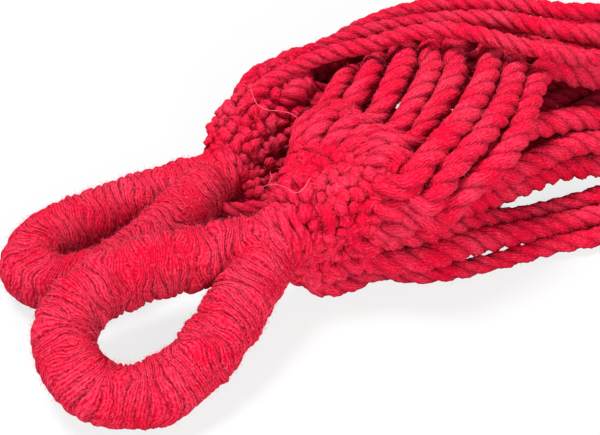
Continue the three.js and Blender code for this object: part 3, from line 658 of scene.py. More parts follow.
def laid_cord_tree():
    """Geometry nodes: sweeps round strands, laid round each other, along a curve."""
    tree, given = new_group("laid_cord", {
        "Start Thickness": 0.003, "End Thickness": 0.003, "Lay": 0.012, "Strands": 3, "Groove": 0.3,
        "Unevenness": 0.08, "Tufts": 0.0, "Seed": 0.0})
    maths = "ShaderNodeMath"
    along = add(tree, "GeometryNodeSplineParameter").node.outputs
    size = add(tree, "ShaderNodeMix", {
        "Factor": along["Factor"], "A": given["Start Thickness"], "B": given["End Thickness"]}, "Result")
    where = add(tree, maths, [along["Length"], 180.0, given["Seed"]], operation="MULTIPLY_ADD")
    lumps = add(tree, "ShaderNodeTexNoise", {"W": where, "Scale": 1.0}, noise_dimensions="1D")
    lumps = add(tree, maths, [lumps, 0.5], operation="SUBTRACT")
    lumps = add(tree, maths, [lumps, given["Unevenness"]], operation="MULTIPLY")
    lumps = add(tree, maths, [lumps, 2.0, 0.5], operation="MULTIPLY_ADD")
    radius = add(tree, maths, [size, lumps], operation="MULTIPLY")
    curve = add(tree, "GeometryNodeSetCurveRadius", {"Curve": given[0], "Radius": radius})
    turns = add(tree, maths, [along["Length"], given["Lay"]], operation="DIVIDE")
    twist = add(tree, maths, [turns, 2 * math.pi, given["Seed"]], operation="MULTIPLY_ADD")
    curve = add(tree, "GeometryNodeSetCurveTilt", {"Curve": curve, "Tilt": twist})
    kept = add(tree, "GeometryNodeCaptureAttribute", [curve], domain="POINT").node
    kept.capture_items.new("FLOAT", "Length")
    tree.links.new(along["Length"], kept.inputs["Length"])
    # the section: a circle drawn in to a groove between each two strands
    ring = add(tree, "GeometryNodeCurvePrimitiveCircle", {"Resolution": 28, "Radius": 1.0})
    share = add(tree, "GeometryNodeSplineParameter")
    strand = add(tree, maths, [share, given["Strands"]], operation="MULTIPLY")
    lobe = add(tree, maths, [strand, math.pi], operation="MULTIPLY")
    lobe = add(tree, maths, [lobe], operation="SINE")
    lobe = add(tree, maths, [lobe], operation="ABSOLUTE")
    fall = add(tree, maths, [lobe, 0.7], operation="POWER")
    fall = add(tree, maths, [fall, 1.0], operation="SUBTRACT")
    fall = add(tree, maths, [fall, given["Groove"]], operation="MULTIPLY")
    shrink = add(tree, maths, [fall, 1.0], operation="ADD")
    spot = add(tree, "GeometryNodeInputPosition")
    moved = add(tree, "ShaderNodeVectorMath", {0: spot, "Scale": shrink}, operation="SCALE")
    ring = add(tree, "GeometryNodeSetPosition", {"Geometry": ring, "Position": moved})
    section = add(tree, "GeometryNodeCaptureAttribute", [ring], domain="POINT").node
    section.capture_items.new("FLOAT", "Strand")
    tree.links.new(strand, section.inputs["Strand"])
    swept = add(tree, "GeometryNodeCurveToMesh", {
        "Curve": kept.outputs["Geometry"], "Profile Curve": section.outputs["Geometry"],
        "Scale": radius, "Fill Caps": True})
    # tufts: the surface pushed in and out by about 1.6 mm lumps
    here = add(tree, "GeometryNodeInputPosition")
    tufts = add(tree, "ShaderNodeTexNoise", {"Vector": here, "Scale": 620.0, "Detail": 2.0})
    tufts = add(tree, maths, [tufts, 0.5], operation="SUBTRACT")
    tufts = add(tree, maths, [tufts, given["Tufts"]], operation="MULTIPLY")
    facing = add(tree, "GeometryNodeInputNormal")
    stir = add(tree, "ShaderNodeVectorMath", {0: facing, "Scale": tufts}, operation="SCALE")
    rough = add(tree, "GeometryNodeSetPosition", {"Geometry": swept, "Offset": stir})
    map_spot = add(tree, "ShaderNodeCombineXYZ", [section.outputs["Strand"], kept.outputs["Length"]])
    stored = add(tree, "GeometryNodeStoreNamedAttribute", {
        "Geometry": rough, "Name": "UVMap", "Value": map_spot}, data_type="FLOAT2", domain="CORNER")
    smooth = add(tree, "GeometryNodeSetShadeSmooth", {"Geometry": stored, "Shade Smooth": True})
    end_group(tree, smooth, given["Material"])
    return tree


def grown(source, name, group, values):
    """What a geometry nodes group makes of an object, as a new plain mesh in place of that object."""
    scene.collection.objects.link(source)
    modifier = source.modifiers.new("grown", "NODES")
    modifier.node_group = group
    for item in group.interface.items_tree:
        if item.in_out == "INPUT" and item.name in values:
            modifier[item.identifier] = values[item.name]
    bpy.context.view_layer.update()
    shaped = source.evaluated_get(bpy.context.evaluated_depsgraph_get())
    piece = bpy.data.objects.new(name, bpy.data.meshes.new_from_object(shaped))
    piece.data.name = name
    scene.collection.objects.link(piece)
    bpy.data.objects.remove(source)
    return piece


def grown_along(lines, name, group, values):
    """What a geometry nodes group makes of several lines of points, as a new plain mesh."""
    curve = bpy.data.curves.new(name, "CURVE")
    curve.dimensions = "3D"
    for line in lines:
        spline = curve.splines.new("POLY")
        spline.points.add(len(line) - 1)
        spline.points.foreach_set("co", np.hstack([line, np.ones((len(line), 1))]).ravel())
    return grown(bpy.data.objects.new(f"{name}_guide", curve), name, group, values)


laid_cord = laid_cord_tree()


def laid_cords(name, lines, material, start, end, lay, strands=3, groove=0.3, unevenness=0.1, tufts=0.0,
               seed=0):
    """One mesh of laid cords that follow several lines of points."""
    return grown_along(lines, name, laid_cord, {
        "Start Thickness": start, "End Thickness": end, "Lay": lay, "Strands": strands, "Groove": groove,
        "Unevenness": unevenness, "Tufts": tufts, "Seed": float(seed), "Material": material})


# Soft cotton strands, hardly twisted: broad matt lobes with few lines. Those of the far clew take a copy with
# painted shade, duller and darker, for the shade that the near one casts on them.
soft_cotton = yarn_finish("soft_cotton_strand", slant=math.radians(18), strand=0.004, lines=0.2, down=0.65,
                          groove=0.9, dull=0.14, closed=1.1, deep_share=0.7)
shade_painted_soft_cotton = yarn_finish("soft_cotton_strand_under", slant=math.radians(18), strand=0.004, lines=0.2,
                              down=0.6, groove=1.0, dull=0.22, closed=2.0, deep_share=0.8, sheen=0.1)
for side, seed, girth in (("near", 3, 0.0089), ("far", 8, 0.0078)):
    eye = EYES[side]
    along, level, raised, _ = eye_axes(eye)
    wind = np.linspace(0, 1, BINDING_POINTS)
    angle = 2 * math.pi * BINDING_TURNS * wind + 1.0
    reach = girth - BINDING_TUCK * np.exp(-wind / 0.03) - BINDING_TUCK * np.exp(-(1 - wind) / 0.03)
    down = -0.0025 - 0.0115 * wind + 0.0009 * np.sin(angle * 0.73 + seed)
    line = (np.array(eye["neck"]) + along * down[:, None] + level * (reach * np.cos(angle))[:, None]
            + raised * (reach * np.sin(angle))[:, None])
    binding = laid_cords(f"{side}_neck_binding_cord", [line], soft_cotton, BINDING_THICKNESS,
                         BINDING_THICKNESS, lay=0.016, strands=2, groove=0.25, seed=seed)
    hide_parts(f"{side}_neck_binding")
    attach(binding, "hammock")

# --- Clews --------------------------------------------------------------------------------------------
# The ropes of each side are plaited into a thick triangular pad before they go through the neck. Soft
# strands fan out from the neck, and others cross them over and under in rows of tight nubs.
WARP_COUNT = 17
WEFT_ROWS = {"near": 10, "far": 15}
WRAP_ROWS = 3  # the first rows are plain wraps over the fan of strands
WEAVE_LIFT = 0.0013
PAD_THICKNESS = 0.0036
NUB_RADII = (0.0018, 0.0027)
NUB_RISE = (0.0016, 0.0032)  # how far their middles stand off the pad's middle
CLEW_COLUMNS, CLEW_ROWS = 91, 61  # steps of its surface across and along it
WEFT_POINTS = 161


def shell(name, middle, out, thickness, u, v):
    """A closed sheet of even thickness over a grid of points, with u and v as its UV map."""
    rows, columns = middle.shape[:2]
    half = out * (thickness / 2)
    vertices = np.concatenate([(middle + half).reshape(-1, 3), (middle - half).reshape(-1, 3)])
    count = rows * columns
    i, j = np.meshgrid(np.arange(rows - 1), np.arange(columns - 1), indexing="ij")
    a = (i * columns + j).ravel()
    face = np.stack([a, a + columns, a + columns + 1, a + 1], axis=1)
    edge_i, edge_j = np.arange(rows - 1) * columns, np.arange(columns - 1)
    last_i, last_j = edge_i + columns - 1, edge_j + (rows - 1) * columns
    rims = [
        np.stack([edge_i, edge_i + count, edge_i + columns + count, edge_i + columns], axis=1),
        np.stack([last_i + columns, last_i + columns + count, last_i + count, last_i], axis=1),
        np.stack([edge_j + 1, edge_j + 1 + count, edge_j + count, edge_j], axis=1),
        np.stack([last_j, last_j + count, last_j + 1 + count, last_j + 1], axis=1),
    ]
    quads = np.concatenate([face, face[:, ::-1] + count, *rims])
    places = np.stack([np.broadcast_to(way, (rows, columns)).ravel() for way in (u, v)], axis=1)
    places = np.concatenate([places, places])
    piece = mesh_piece(name, vertices, quads.tolist(), places[quads.ravel()])
    # a negative volume means that its faces point inwards
    first, second, third = (vertices[quads[:, k]] for k in range(3))
    if np.sum(first * np.cross(second - first, third - first)) < 0:
        piece.data.flip_normals()
    return piece


def tufts_on(name, grid, out, rows, rng):
    """Soft round nubs of slack cotton, where the crossing strands bulge out of the middle of a clew."""
    ball = bmesh.new()
    bmesh.ops.create_icosphere(ball, subdivisions=2, radius=1.0)
    corners = np.array([v.co[:] for v in ball.verts])
    sides = np.array([[v.index for v in f.verts] for f in ball.faces])
    ball.free()
    vertices, faces, places = [], [], []
    for i in range(WARP_COUNT * 3 // 4):  # the last quarter lies round the back
        for j in range(WRAP_ROWS, rows):
            u = (i + 0.5 + rng.uniform(-0.35, 0.35)) / WARP_COUNT
            v = (j + 0.5 * (i % 2) + rng.uniform(-0.25, 0.25)) / rows
            if v > 0.93:
                continue
            middle, outward = (on_grid(of, np.array([u]), np.array([v]))[0] for of in (grid, out))
            turn = Euler(rng.uniform(0, 6.3, 3)).to_matrix()
            lumpy = 1 + 0.2 * ripple(rng, (1.0, 1.0, 1.0), *corners.T)[:, None]
            shaped = corners * lumpy * rng.uniform(*NUB_RADII) * (1.25, 0.95, 0.85)
            faces.append(sides + len(vertices) * len(corners))
            vertices.append(shaped @ np.array(turn) + middle + outward * rng.uniform(*NUB_RISE))
            place = np.stack([corners[:, 0] * 0.5 + rng.uniform(0, 9), shaped[:, 1]], axis=1)
            places.append(place[sides.ravel()])
    return mesh_piece(name, np.concatenate(vertices), np.concatenate(faces), np.concatenate(places))


# Teased cotton: round, downy and without seams
tuft_cotton = yarn_finish("cotton_tuft", slant=math.radians(25), strand=0.004, lines=0.15, down=0.9,
                          groove=0.0, dull=0.14, closed=1.2, deep_share=0.7)
# The same with painted shade, duller and darker, for the nubs of the far clew in the near one's shade
shade_painted_tuft_cotton = yarn_finish("cotton_tuft_under", slant=math.radians(25), strand=0.004, lines=0.15,
                              down=0.8, groove=0.0, dull=0.22, closed=2.0, deep_share=0.8, sheen=0.1)
# Packed cotton deep in the pad, plain, painted dark as shade, that shows only in the gaps of the weave
shade_painted_packing_cotton, tree, shader = finish_of("inner_cotton_strand", 0.0)
shader.inputs["Base Color"].default_value = linear("#9C0A2A")
# the far clew takes the copies with painted shade, for the shade of the near one
CLEW_COTTONS = {
    "near": (soft_cotton, tuft_cotton, rope_cotton),
    "far": (shade_painted_soft_cotton, shade_painted_tuft_cotton, shade_painted_rope_cotton),
}
# Strands that lie on the floor or under the ropes, out of the weave
CLEW_TAILS = {
    "near": [
        [(-0.398, -0.041, 0.0050), (-0.386, -0.041, 0.0045), (-0.374, -0.039, 0.0042),
         (-0.362, -0.0335, 0.0042), (-0.352, -0.0285, 0.0042), (-0.343, -0.0245, 0.0042),
         (-0.331, -0.020, 0.0042), (-0.318, -0.015, 0.0042), (-0.300, -0.0105, 0.0042),
         (-0.275, -0.0085, 0.0042)],
    ],
    "far": [
        [(-0.440, -0.004, 0.0045), (-0.431, -0.008, 0.0040), (-0.420, -0.012, 0.0042),
         (-0.404, -0.010, 0.0049)],
        [(-0.437, 0.002, 0.0055), (-0.428, -0.001, 0.0060), (-0.416, -0.004, 0.0060),
         (-0.400, -0.001, 0.0060)],
        [(-0.440, -0.003, 0.0095), (-0.434, -0.010, 0.0105), (-0.427, -0.0125, 0.0110),
         (-0.415, -0.013, 0.0105), (-0.400, -0.010, 0.0095)],
        [(-0.405, 0.048, 0.0100), (-0.392, 0.062, 0.0050), (-0.375, 0.070, 0.0042),
         (-0.355, 0.0735, 0.0042), (-0.335, 0.0700, 0.0042), (-0.312, 0.0655, 0.0042),
         (-0.296, 0.063, 0.0042)],
        [(-0.400, 0.046, 0.0120), (-0.388, 0.057, 0.0070), (-0.374, 0.0635, 0.0045),
         (-0.358, 0.066, 0.0045), (-0.340, 0.0635, 0.0045)],
        [(-0.392, 0.020, 0.0260), (-0.380, 0.024, 0.0235), (-0.370, 0.028, 0.0200),
         (-0.355, 0.033, 0.0150), (-0.338, 0.036, 0.0105)],
        [(-0.318, 0.040, 0.0045), (-0.300, 0.037, 0.0042), (-0.288, 0.030, 0.0042),
         (-0.278, 0.022, 0.0042), (-0.262, 0.016, 0.0042)],
    ],
}
clews = []
for side in ("near", "far"):
    strand_cotton, nub_cotton, edge_cotton = CLEW_COTTONS[side]
    grid, out = clew_grid(side, CLEW_COLUMNS, CLEW_ROWS)
    pad = shell(f"{side}_clew_packing", grid, out, PAD_THICKNESS,
                np.linspace(0, 12, CLEW_COLUMNS)[:, None], np.linspace(0, 0.05, CLEW_ROWS)[None, :])
    pad.data.materials.append(shade_painted_packing_cotton)
    rows = WEFT_ROWS[side]
    rng = np.random.default_rng(31)
    v = np.linspace(0, 1, CLEW_COLUMNS)
    warps = []
    for i in range(WARP_COUNT):
        u = (i + 0.5 + 0.25 * ripple(rng, (0.6,), v)) / WARP_COUNT
        lift = WEAVE_LIFT * np.cos(math.pi * (v * rows - 0.5 + i)) * np.minimum(1, v / 0.2)
        lift = lift + 0.0006 * ripple(rng, (0.3,), v)
        warps.append(on_grid(grid, u, v) + on_grid(out, u, v) * lift[:, None])
    warp = laid_cords(f"{side}_clew_lengthwise", warps, strand_cotton, start=0.0032, end=0.0064,
                      lay=0.013, groove=0.2, unevenness=0.4, tufts=0.0022, seed=5)
    u = np.linspace(0, 1, WEFT_POINTS)
    wefts = []
    for j in range(rows):
        spot = (j + 0.5 + 0.3 * ripple(rng, (0.4,), u)) / rows
        lift = -1.35 * WEAVE_LIFT * np.cos(math.pi * (u * WARP_COUNT - 0.5 + j))
        if j < WRAP_ROWS:
            lift = 0.0026 + 0.15 * lift
        lift = lift + 0.0006 * ripple(rng, (0.2,), u)
        wefts.append(on_grid(grid, u, spot) + on_grid(out, u, spot) * lift[:, None])
    weft = laid_cords(f"{side}_clew_crosswise", wefts, strand_cotton, start=0.0036, end=0.0048,
                      lay=0.011, strands=2, groove=0.2, unevenness=0.4, tufts=0.0022, seed=9)
    nubs = tufts_on(f"{side}_clew_tufts", grid, out, rows, rng)
    nubs.data.materials.append(nub_cotton)
    edges = [on_grid(grid, np.full_like(v, share), v) for share in (0.0, 1.0)]
    edges += [smooth_line(points, 0.001)[0] for points in CLEW_TAILS[side]]
    rim = laid_cords(f"{side}_clew_edges", edges, edge_cotton, start=0.0052, end=0.0070, lay=0.019,
                     groove=0.35, seed=2)
    for piece in (pad, warp, weft, nubs, rim):
        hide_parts(f"{side}_clew")
        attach(piece, "hammock")
        clews.append(piece)

# --- Hems ---------------------------------------------------------------------------------------------
# The end of the bed's cloth is turned over into a thick gathered hem. Every rope goes into its front at
# its hole and ends a little way inside. Two rows of stitching hold it down.
HEM_THICKNESS = 0.0092
HEM_MARGIN = 0.006
HEM_PLEAT = 0.0043
HEM_GATHER = 4.2  # metres of cloth in a metre of hem
HEM_GIRTH = 0.052
HEM_SIDES = 48
CANVAS_RED = "#C21A33"
CANVAS_DEEP = "#94102A"
THREAD_PITCH = 0.0009  # coarser than real canvas, so that it shows


def canvas_finish():
    """Plain-woven cotton canvas: a fine grid of warp and weft threads, in two reds that drift over it."""
    material, tree, shader = finish_of("plain_woven_canvas", 0.15)
    maths = "ShaderNodeMath"
    coordinates = add(tree, "ShaderNodeTexCoord").node.outputs
    parts = add(tree, "ShaderNodeSeparateXYZ", [coordinates["UV"]]).node.outputs
    waves = []
    for axis in ("X", "Y"):
        turns = add(tree, maths, [parts[axis], math.pi / THREAD_PITCH], operation="MULTIPLY")
        waves.append(add(tree, maths, [turns], operation="SINE"))
    weave = add(tree, maths, waves, operation="MULTIPLY")
    # slubs: thicker stretches of thread, about 1 mm by 17 mm
    slub = add(tree, "ShaderNodeMapping", {"Vector": coordinates["UV"], "Scale": (900, 60, 1)})
    slub = add(tree, "ShaderNodeTexNoise", {"Vector": slub, "Scale": 1.0, "Detail": 2.0})
    cloud = add(tree, "ShaderNodeTexNoise", {
        "Vector": coordinates["Object"], "Scale": 30.0, "Detail": 3.0})
    share = add(tree, maths, [slub, 0.8, cloud], operation="MULTIPLY_ADD")
    share = add(tree, maths, [weave, 0.18, share], operation="MULTIPLY_ADD")
    share = add(tree, "ShaderNodeMapRange", {"Value": share, "From Min": 0.5, "From Max": 1.4})
    mixed = add(tree, "ShaderNodeMix", {
        "Factor": share, "A": linear(CANVAS_RED), "B": linear(CANVAS_DEEP)}, "Result", data_type="RGBA")
    tree.links.new(mixed, shader.inputs["Base Color"])
    bump = add(tree, "ShaderNodeBump", {"Strength": 0.7, "Distance": 0.0002, "Height": weave})
    tree.links.new(bump, shader.inputs["Normal"])
    return material


def squared(wave):
    """A round wave drawn out towards a square one, for the hem's flattened section."""
    return np.sign(wave) * np.abs(wave) ** 0.55


canvas = canvas_finish()
hem_lines = {}
for side, holes in (("near", NEAR_HOLES), ("far", FAR_HOLES)):
    row = np.array([(0, *hole) for hole in holes])
    row[0] += unit(row[0] - row[1]) * HEM_MARGIN
    row[-1] += unit(row[-1] - row[-2]) * HEM_MARGIN
    line, run = smooth_line(row, 0.0011)
    tangent = unit(np.gradient(line, axis=0))
    up = np.cross(np.array([1.0, 0, 0]), tangent)
    hem_lines[side] = (line, up)
    bend = np.linspace(0, 2 * math.pi, HEM_SIDES + 1)[:-1]
    rng = np.random.default_rng(17)
    pleat = np.abs(np.sin(math.pi * run / HEM_PLEAT + ripple(rng, (0.05,), run)))[:, None]
    ends = np.minimum(1, np.minimum(run, run[-1] - run)[:, None] / 0.003 + 0.55)
    deep = HEM_DEPTH / 2 * (1 - 0.02 * pleat) * ends**0.25
    high = (HEM_THICKNESS / 2 - 0.0009 * (1 - pleat)) * ends**0.5
    rise = high * squared(np.sin(bend))
    rings = line[:, None] + rise[..., None] * up[:, None]
    rings[..., 0] = HEM_FRONT + HEM_DEPTH / 2 + deep * squared(np.cos(bend))
    around = np.linspace(0, HEM_GIRTH, HEM_SIDES + 1)
    hem = skin(f"{side}_hem_cloth", rings, np.broadcast_to(around, (len(run), HEM_SIDES + 1)),
               np.broadcast_to(run[:, None] * HEM_GATHER, (len(run), HEM_SIDES + 1)))
    hem.data.materials.append(canvas)
    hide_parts(f"{side}_hem")
    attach(hem, "hammock")

# --- Hem stitching ------------------------------------------------------------------------------------
# Strong waxed cotton thread, in two rows of long stitches on each face of the hem. They hold the
# turned-over cloth down behind the rope ends and along its edge.
STITCH_LENGTH = 0.0032
STITCH_PITCH = 0.0046
STITCH_THICKNESS = 0.0007
STITCH_SINK = 0.00015  # into the cloth
SEAM_INSETS = (0.0045, 0.0155)  # from the hem's front


def stitch_tree():
    """Geometry nodes: lays a rounded stitch along a seam line at even spacing."""
    tree, given = new_group("stitch_row", {
        "Pitch": STITCH_PITCH, "Length": STITCH_LENGTH, "Thickness": STITCH_THICKNESS, "Seed": 0})
    spots = add(tree, "GeometryNodeCurveToPoints", {"Curve": given[0], "Length": given["Pitch"]},
                mode="LENGTH").node.outputs
    bead = add(tree, "GeometryNodeMeshUVSphere", {"Segments": 8, "Rings": 6, "Radius": 0.5})
    size = add(tree, "ShaderNodeCombineXYZ", [given["Thickness"], given["Thickness"], given["Length"]])
    bead = add(tree, "GeometryNodeTransform", {"Geometry": bead, "Scale": size})
    lean = add(tree, "FunctionNodeRandomValue", {
        0: (-0.08, -0.08, -0.08), 1: (0.08, 0.08, 0.08), "Seed": given["Seed"]}, data_type="FLOAT_VECTOR")
    lean = add(tree, "FunctionNodeEulerToRotation", [lean])
    turn = add(tree, "FunctionNodeRotateRotation", {
        "Rotation": spots["Rotation"], "Rotate By": lean}, rotation_space="LOCAL")
    laid = add(tree, "GeometryNodeInstanceOnPoints", {
        "Points": spots["Points"], "Instance": bead, "Rotation": turn})
    end_group(tree, laid, given["Material"])
    return tree


def mottled_finish(name, sheen, roughness, scale, first, second):
    """Cotton in two shades that change over places of about one part in scale of a metre."""
    material, tree, shader = finish_of(name, sheen, roughness)
    place = add(tree, "ShaderNodeTexCoord", output="Object")
    noise = add(tree, "ShaderNodeTexNoise", {"Vector": place, "Scale": scale})
    tone = add(tree, "ShaderNodeValToRGB", {"Fac": noise})
    for shade, colour in zip(tone.node.color_ramp.elements, (first, second)):
        shade.color = linear(colour)
    tree.links.new(tone, shader.inputs["Base Color"])
    return material


# Waxed cotton thread: smoother than the cloth, paler where its twist stands up
thread = mottled_finish("waxed_cotton_thread", 0.1, 0.6, 900.0, "#8E0F22", "#D43A52")
stitch_rows = stitch_tree()
for side, (line, up) in hem_lines.items():
    seams = []
    for inset in SEAM_INSETS:
        for face in (1, -1):
            seam = line[4:-4] + up[4:-4] * face * (HEM_THICKNESS / 2 - STITCH_SINK)
            seam[:, 0] = HEM_FRONT + inset
            seams.append(seam)
    stitches = grown_along(seams, f"{side}_hem_stitches", stitch_rows, {
        "Pitch": STITCH_PITCH, "Length": STITCH_LENGTH, "Thickness": STITCH_THICKNESS, "Seed": 4,
        "Material": thread})
    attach(stitches, "hammock")

# --- Gathered ends of the bed -------------------------------------------------------------------------
# Between its hem and the folded packet the cloth is still bunched up: close standing pleats that open out
# towards the bed.
CANVAS_THICKNESS = 0.0011
BED_LENGTH = 0.230
BED_END_THICKNESS = 0.011
HALF_HEIGHT = 0.026  # of one folded half
TOUCHING = 0.00035  # between pieces that lie against each other
PLEATS = 44
PLEAT_STEPS = 10
PLEAT_ROWS = 17
CUT_WIDTH = 0.92  # of the cloth before it is folded or gathered
END_LINES = {"near": (-0.092, 0.078), "far": (-0.088, 0.096)}
END_HEIGHTS = {
    "near": BED_END_THICKNESS / 2 + TOUCHING,
    "far": 2 * HALF_HEIGHT - BED_END_THICKNESS / 2,
}
for side, seed in (("near", 5), ("far", 6)):
    line, _ = hem_lines[side]
    rng = np.random.default_rng(seed)
    share = np.linspace(0, 1, PLEATS * PLEAT_STEPS + 1)
    along_hem = np.linspace(0, 1, len(line))
    grid_row = np.stack([np.interp(share, along_hem, line[:, k]) for k in range(3)], axis=1)
    down = np.linspace(0, 1, PLEAT_ROWS)
    ease = (down * down * (3 - 2 * down))[None, :, None]
    left, right = END_LINES[side]
    flat = np.stack([np.zeros_like(share), left + (right - left) * share,
                     np.full_like(share, END_HEIGHTS[side])], axis=1)
    middle = grid_row[:, None] * (1 - ease) + flat[:, None] * ease
    start, end = HEM_FRONT + HEM_DEPTH + TOUCHING, -BED_LENGTH / 2 - TOUCHING
    middle[..., 0] = start + (end - start) * down
    out = unit(np.cross(np.gradient(middle, axis=0), np.gradient(middle, axis=1)))
    s, t = np.meshgrid(share, down, indexing="ij")
    deep = (HEM_THICKNESS + (BED_END_THICKNESS - HEM_THICKNESS) * t) / 2 - CANVAS_THICKNESS * 0.75
    wave = np.sin(2 * math.pi * PLEATS * s + 0.9 * ripple(rng, (0.08, 0.7), s, t))
    folded = middle + out * (deep * wave * (1 - 0.12 * ripple(rng, (0.05, 2), s, t) ** 2))[..., None]
    face = unit(np.cross(np.gradient(folded, axis=0), np.gradient(folded, axis=1)))
    cloth_run = np.mean(np.sum(np.linalg.norm(np.diff(middle, axis=1), axis=2), axis=1))
    end_piece = shell(f"{side}_bed_end_pleats", folded, face, CANVAS_THICKNESS,
                      (share * CUT_WIDTH)[:, None], (down * cloth_run)[None, :])
    end_piece.data.materials.append(canvas)
    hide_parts(f"{side}_bed_end")
    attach(end_piece, "hammock")

# --- Folded bed ---------------------------------------------------------------------------------------
# Each half of the bed is a square of canvas folded in four across its width, then in four along its
# length. The two packets lie on each other, with the soft round folds at their ends.
FOLDS = 4
FOLD_HEIGHT = 0.0065
PLY = FOLD_HEIGHT / FOLDS
FOLD_INSET = 1.1  # how far the runs stop short of the packet's side, in heights of a fold
BED_WIDTH = 0.230


def zigzag(half_run, radius, straight_steps, turn_steps):
    """A path of parallel runs joined by half turns: its places, directions across it, and lengths so far."""
    spots, sides = [], []
    for i in range(FOLDS):
        way = 1 if i % 2 == 0 else -1
        level = (2 * i + 1) * radius
        for x in np.linspace(-half_run * way, half_run * way, straight_steps):
            spots.append((x, level))
            sides.append((0.0, float(way)))
        if i < FOLDS - 1:
            for angle in np.linspace(0, math.pi, turn_steps + 2)[1:-1]:
                sine, cosine = math.sin(angle), math.cos(angle)
                spots.append((way * (half_run + radius * sine), level + radius * (1 - cosine)))
                sides.append((-way * sine, way * cosine))
    spots = np.array(spots)
    return spots, np.array(sides), run_along(spots)


for side, bottom, seed in (("near", 0.0, 12), ("far", HALF_HEIGHT + TOUCHING, 13)):
    plies, ply_sides, ply_run = zigzag(BED_WIDTH / 2 - PLY * FOLD_INSET, PLY / 2,
                                       straight_steps=20, turn_steps=5)
    folds, fold_sides, fold_run = zigzag(BED_LENGTH / 2 - FOLD_HEIGHT * FOLD_INSET, FOLD_HEIGHT / 2,
                                         straight_steps=26, turn_steps=9)
    height = (plies[:, 1] - FOLD_HEIGHT / 2)[:, None]
    x = folds[None, :, 0] + fold_sides[None, :, 0] * height
    z = bottom + folds[None, :, 1] + fold_sides[None, :, 1] * height
    y = np.broadcast_to(plies[:, 0][:, None], x.shape)
    out = np.stack([ply_sides[:, 1][:, None] * fold_sides[None, :, 0],
                    np.broadcast_to(ply_sides[:, 0][:, None], x.shape),
                    ply_sides[:, 1][:, None] * fold_sides[None, :, 1]], axis=-1)
    rng = np.random.default_rng(seed)
    stack = (z - bottom) / HALF_HEIGHT
    sag = 0.0005 * ripple(rng, (0.13, 0.13), x, y) * stack - 0.0004 * stack
    x = x * (1 - 0.004 * (1 + ripple(rng, (0.12, 0.008), y, z)))
    y = y * (1 - 0.004 * (1 + ripple(rng, (0.12, 0.008), x, z)))
    middle = np.stack([x, y, z + sag], axis=-1)
    half = shell(f"{side}_bed_half_folded", middle, out, CANVAS_THICKNESS,
                 ply_run[:, None], fold_run[None, :])
    half.data.materials.append(canvas)
    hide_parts(f"{side}_bed_half")
    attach(half, "hammock")

# --- Loose fibres -------------------------------------------------------------------------------------
# Soft-spun cotton sheds short fibre ends all over. They stand out from the turns and strands as a pale
# down, and show most where the surface turns away.
FIBRE_ENDS = {"near": 2.6e5, "far": 1.1e5}  # on the clews, to the square metre


def fibre_tree():
    """Geometry nodes: plants short curved fibres over a surface."""
    tree, given = new_group("loose_fibres", {
        "Density": 1e5, "Length": 0.002, "Thickness": 0.00006, "Seed": 0})
    facing = add(tree, "GeometryNodeInputNormal")
    rise = add(tree, "ShaderNodeSeparateXYZ", [facing], "Z")
    open_air = add(tree, "FunctionNodeCompare", [rise, -0.35], data_type="FLOAT", operation="GREATER_THAN")
    spots = add(tree, "GeometryNodeDistributePointsOnFaces", {
        "Mesh": given[0], "Selection": open_air, "Density": given["Density"], "Seed": given["Seed"]},
        distribute_method="RANDOM").node.outputs
    bow = add(tree, "GeometryNodeCurveQuadraticBezier", {
        "Resolution": 2, "Start": (0, 0, -0.1), "Middle": (0.05, 0, 0.6), "End": (0.75, 0, 0.7)})
    across = add(tree, "ShaderNodeMath", [given["Length"], 2.0], operation="MULTIPLY")
    across = add(tree, "ShaderNodeMath", [given["Thickness"], across], operation="DIVIDE")
    ring = add(tree, "GeometryNodeCurvePrimitiveCircle", {"Resolution": 3, "Radius": across})
    fibre = add(tree, "GeometryNodeCurveToMesh", {"Curve": bow, "Profile Curve": ring, "Fill Caps": True})
    upright = add(tree, "FunctionNodeAlignRotationToVector", {"Vector": spots["Normal"]}, axis="Z")
    lean = add(tree, "FunctionNodeRandomValue", {
        0: (-0.7, -0.7, 0.0), 1: (0.7, 0.7, 6.3), "Seed": given["Seed"]}, data_type="FLOAT_VECTOR")
    lean = add(tree, "FunctionNodeEulerToRotation", [lean])
    turn = add(tree, "FunctionNodeRotateRotation", {"Rotation": upright, "Rotate By": lean},
               rotation_space="LOCAL")
    size = add(tree, "FunctionNodeRandomValue", {2: 0.4, 3: 1.2, "Seed": given["Seed"]}, 1, data_type="FLOAT")
    size = add(tree, "ShaderNodeMath", [size, given["Length"]], operation="MULTIPLY")
    planted = add(tree, "GeometryNodeInstanceOnPoints", {
        "Points": spots["Points"], "Instance": fibre, "Rotation": turn, "Scale": size})
    end_group(tree, planted, given["Material"])
    return tree


# Fibre ends: paler than the yarn, because light comes through them
down_cotton = mottled_finish("cotton_fibre_ends", 0.3, 0.92, 400.0, "#E8395A", "#F2788F")
loose_fibres = fibre_tree()


def fibres_on(sources, name, density, length, thickness, seed):
    """Loose fibres over the surface of finished pieces, as one plain mesh."""
    joined = bpy.data.meshes.new(name)
    vertices, faces = [], []
    for source in sources:
        first = len(vertices)
        vertices.extend(v.co[:] for v in source.data.vertices)
        faces.extend(tuple(first + i for i in p.vertices) for p in source.data.polygons)
    joined.from_pydata(vertices, [], faces)
    return grown(bpy.data.objects.new(f"{name}_bed", joined), name, loose_fibres, {
        "Density": density, "Length": length, "Thickness": thickness, "Seed": seed,
        "Material": down_cotton})


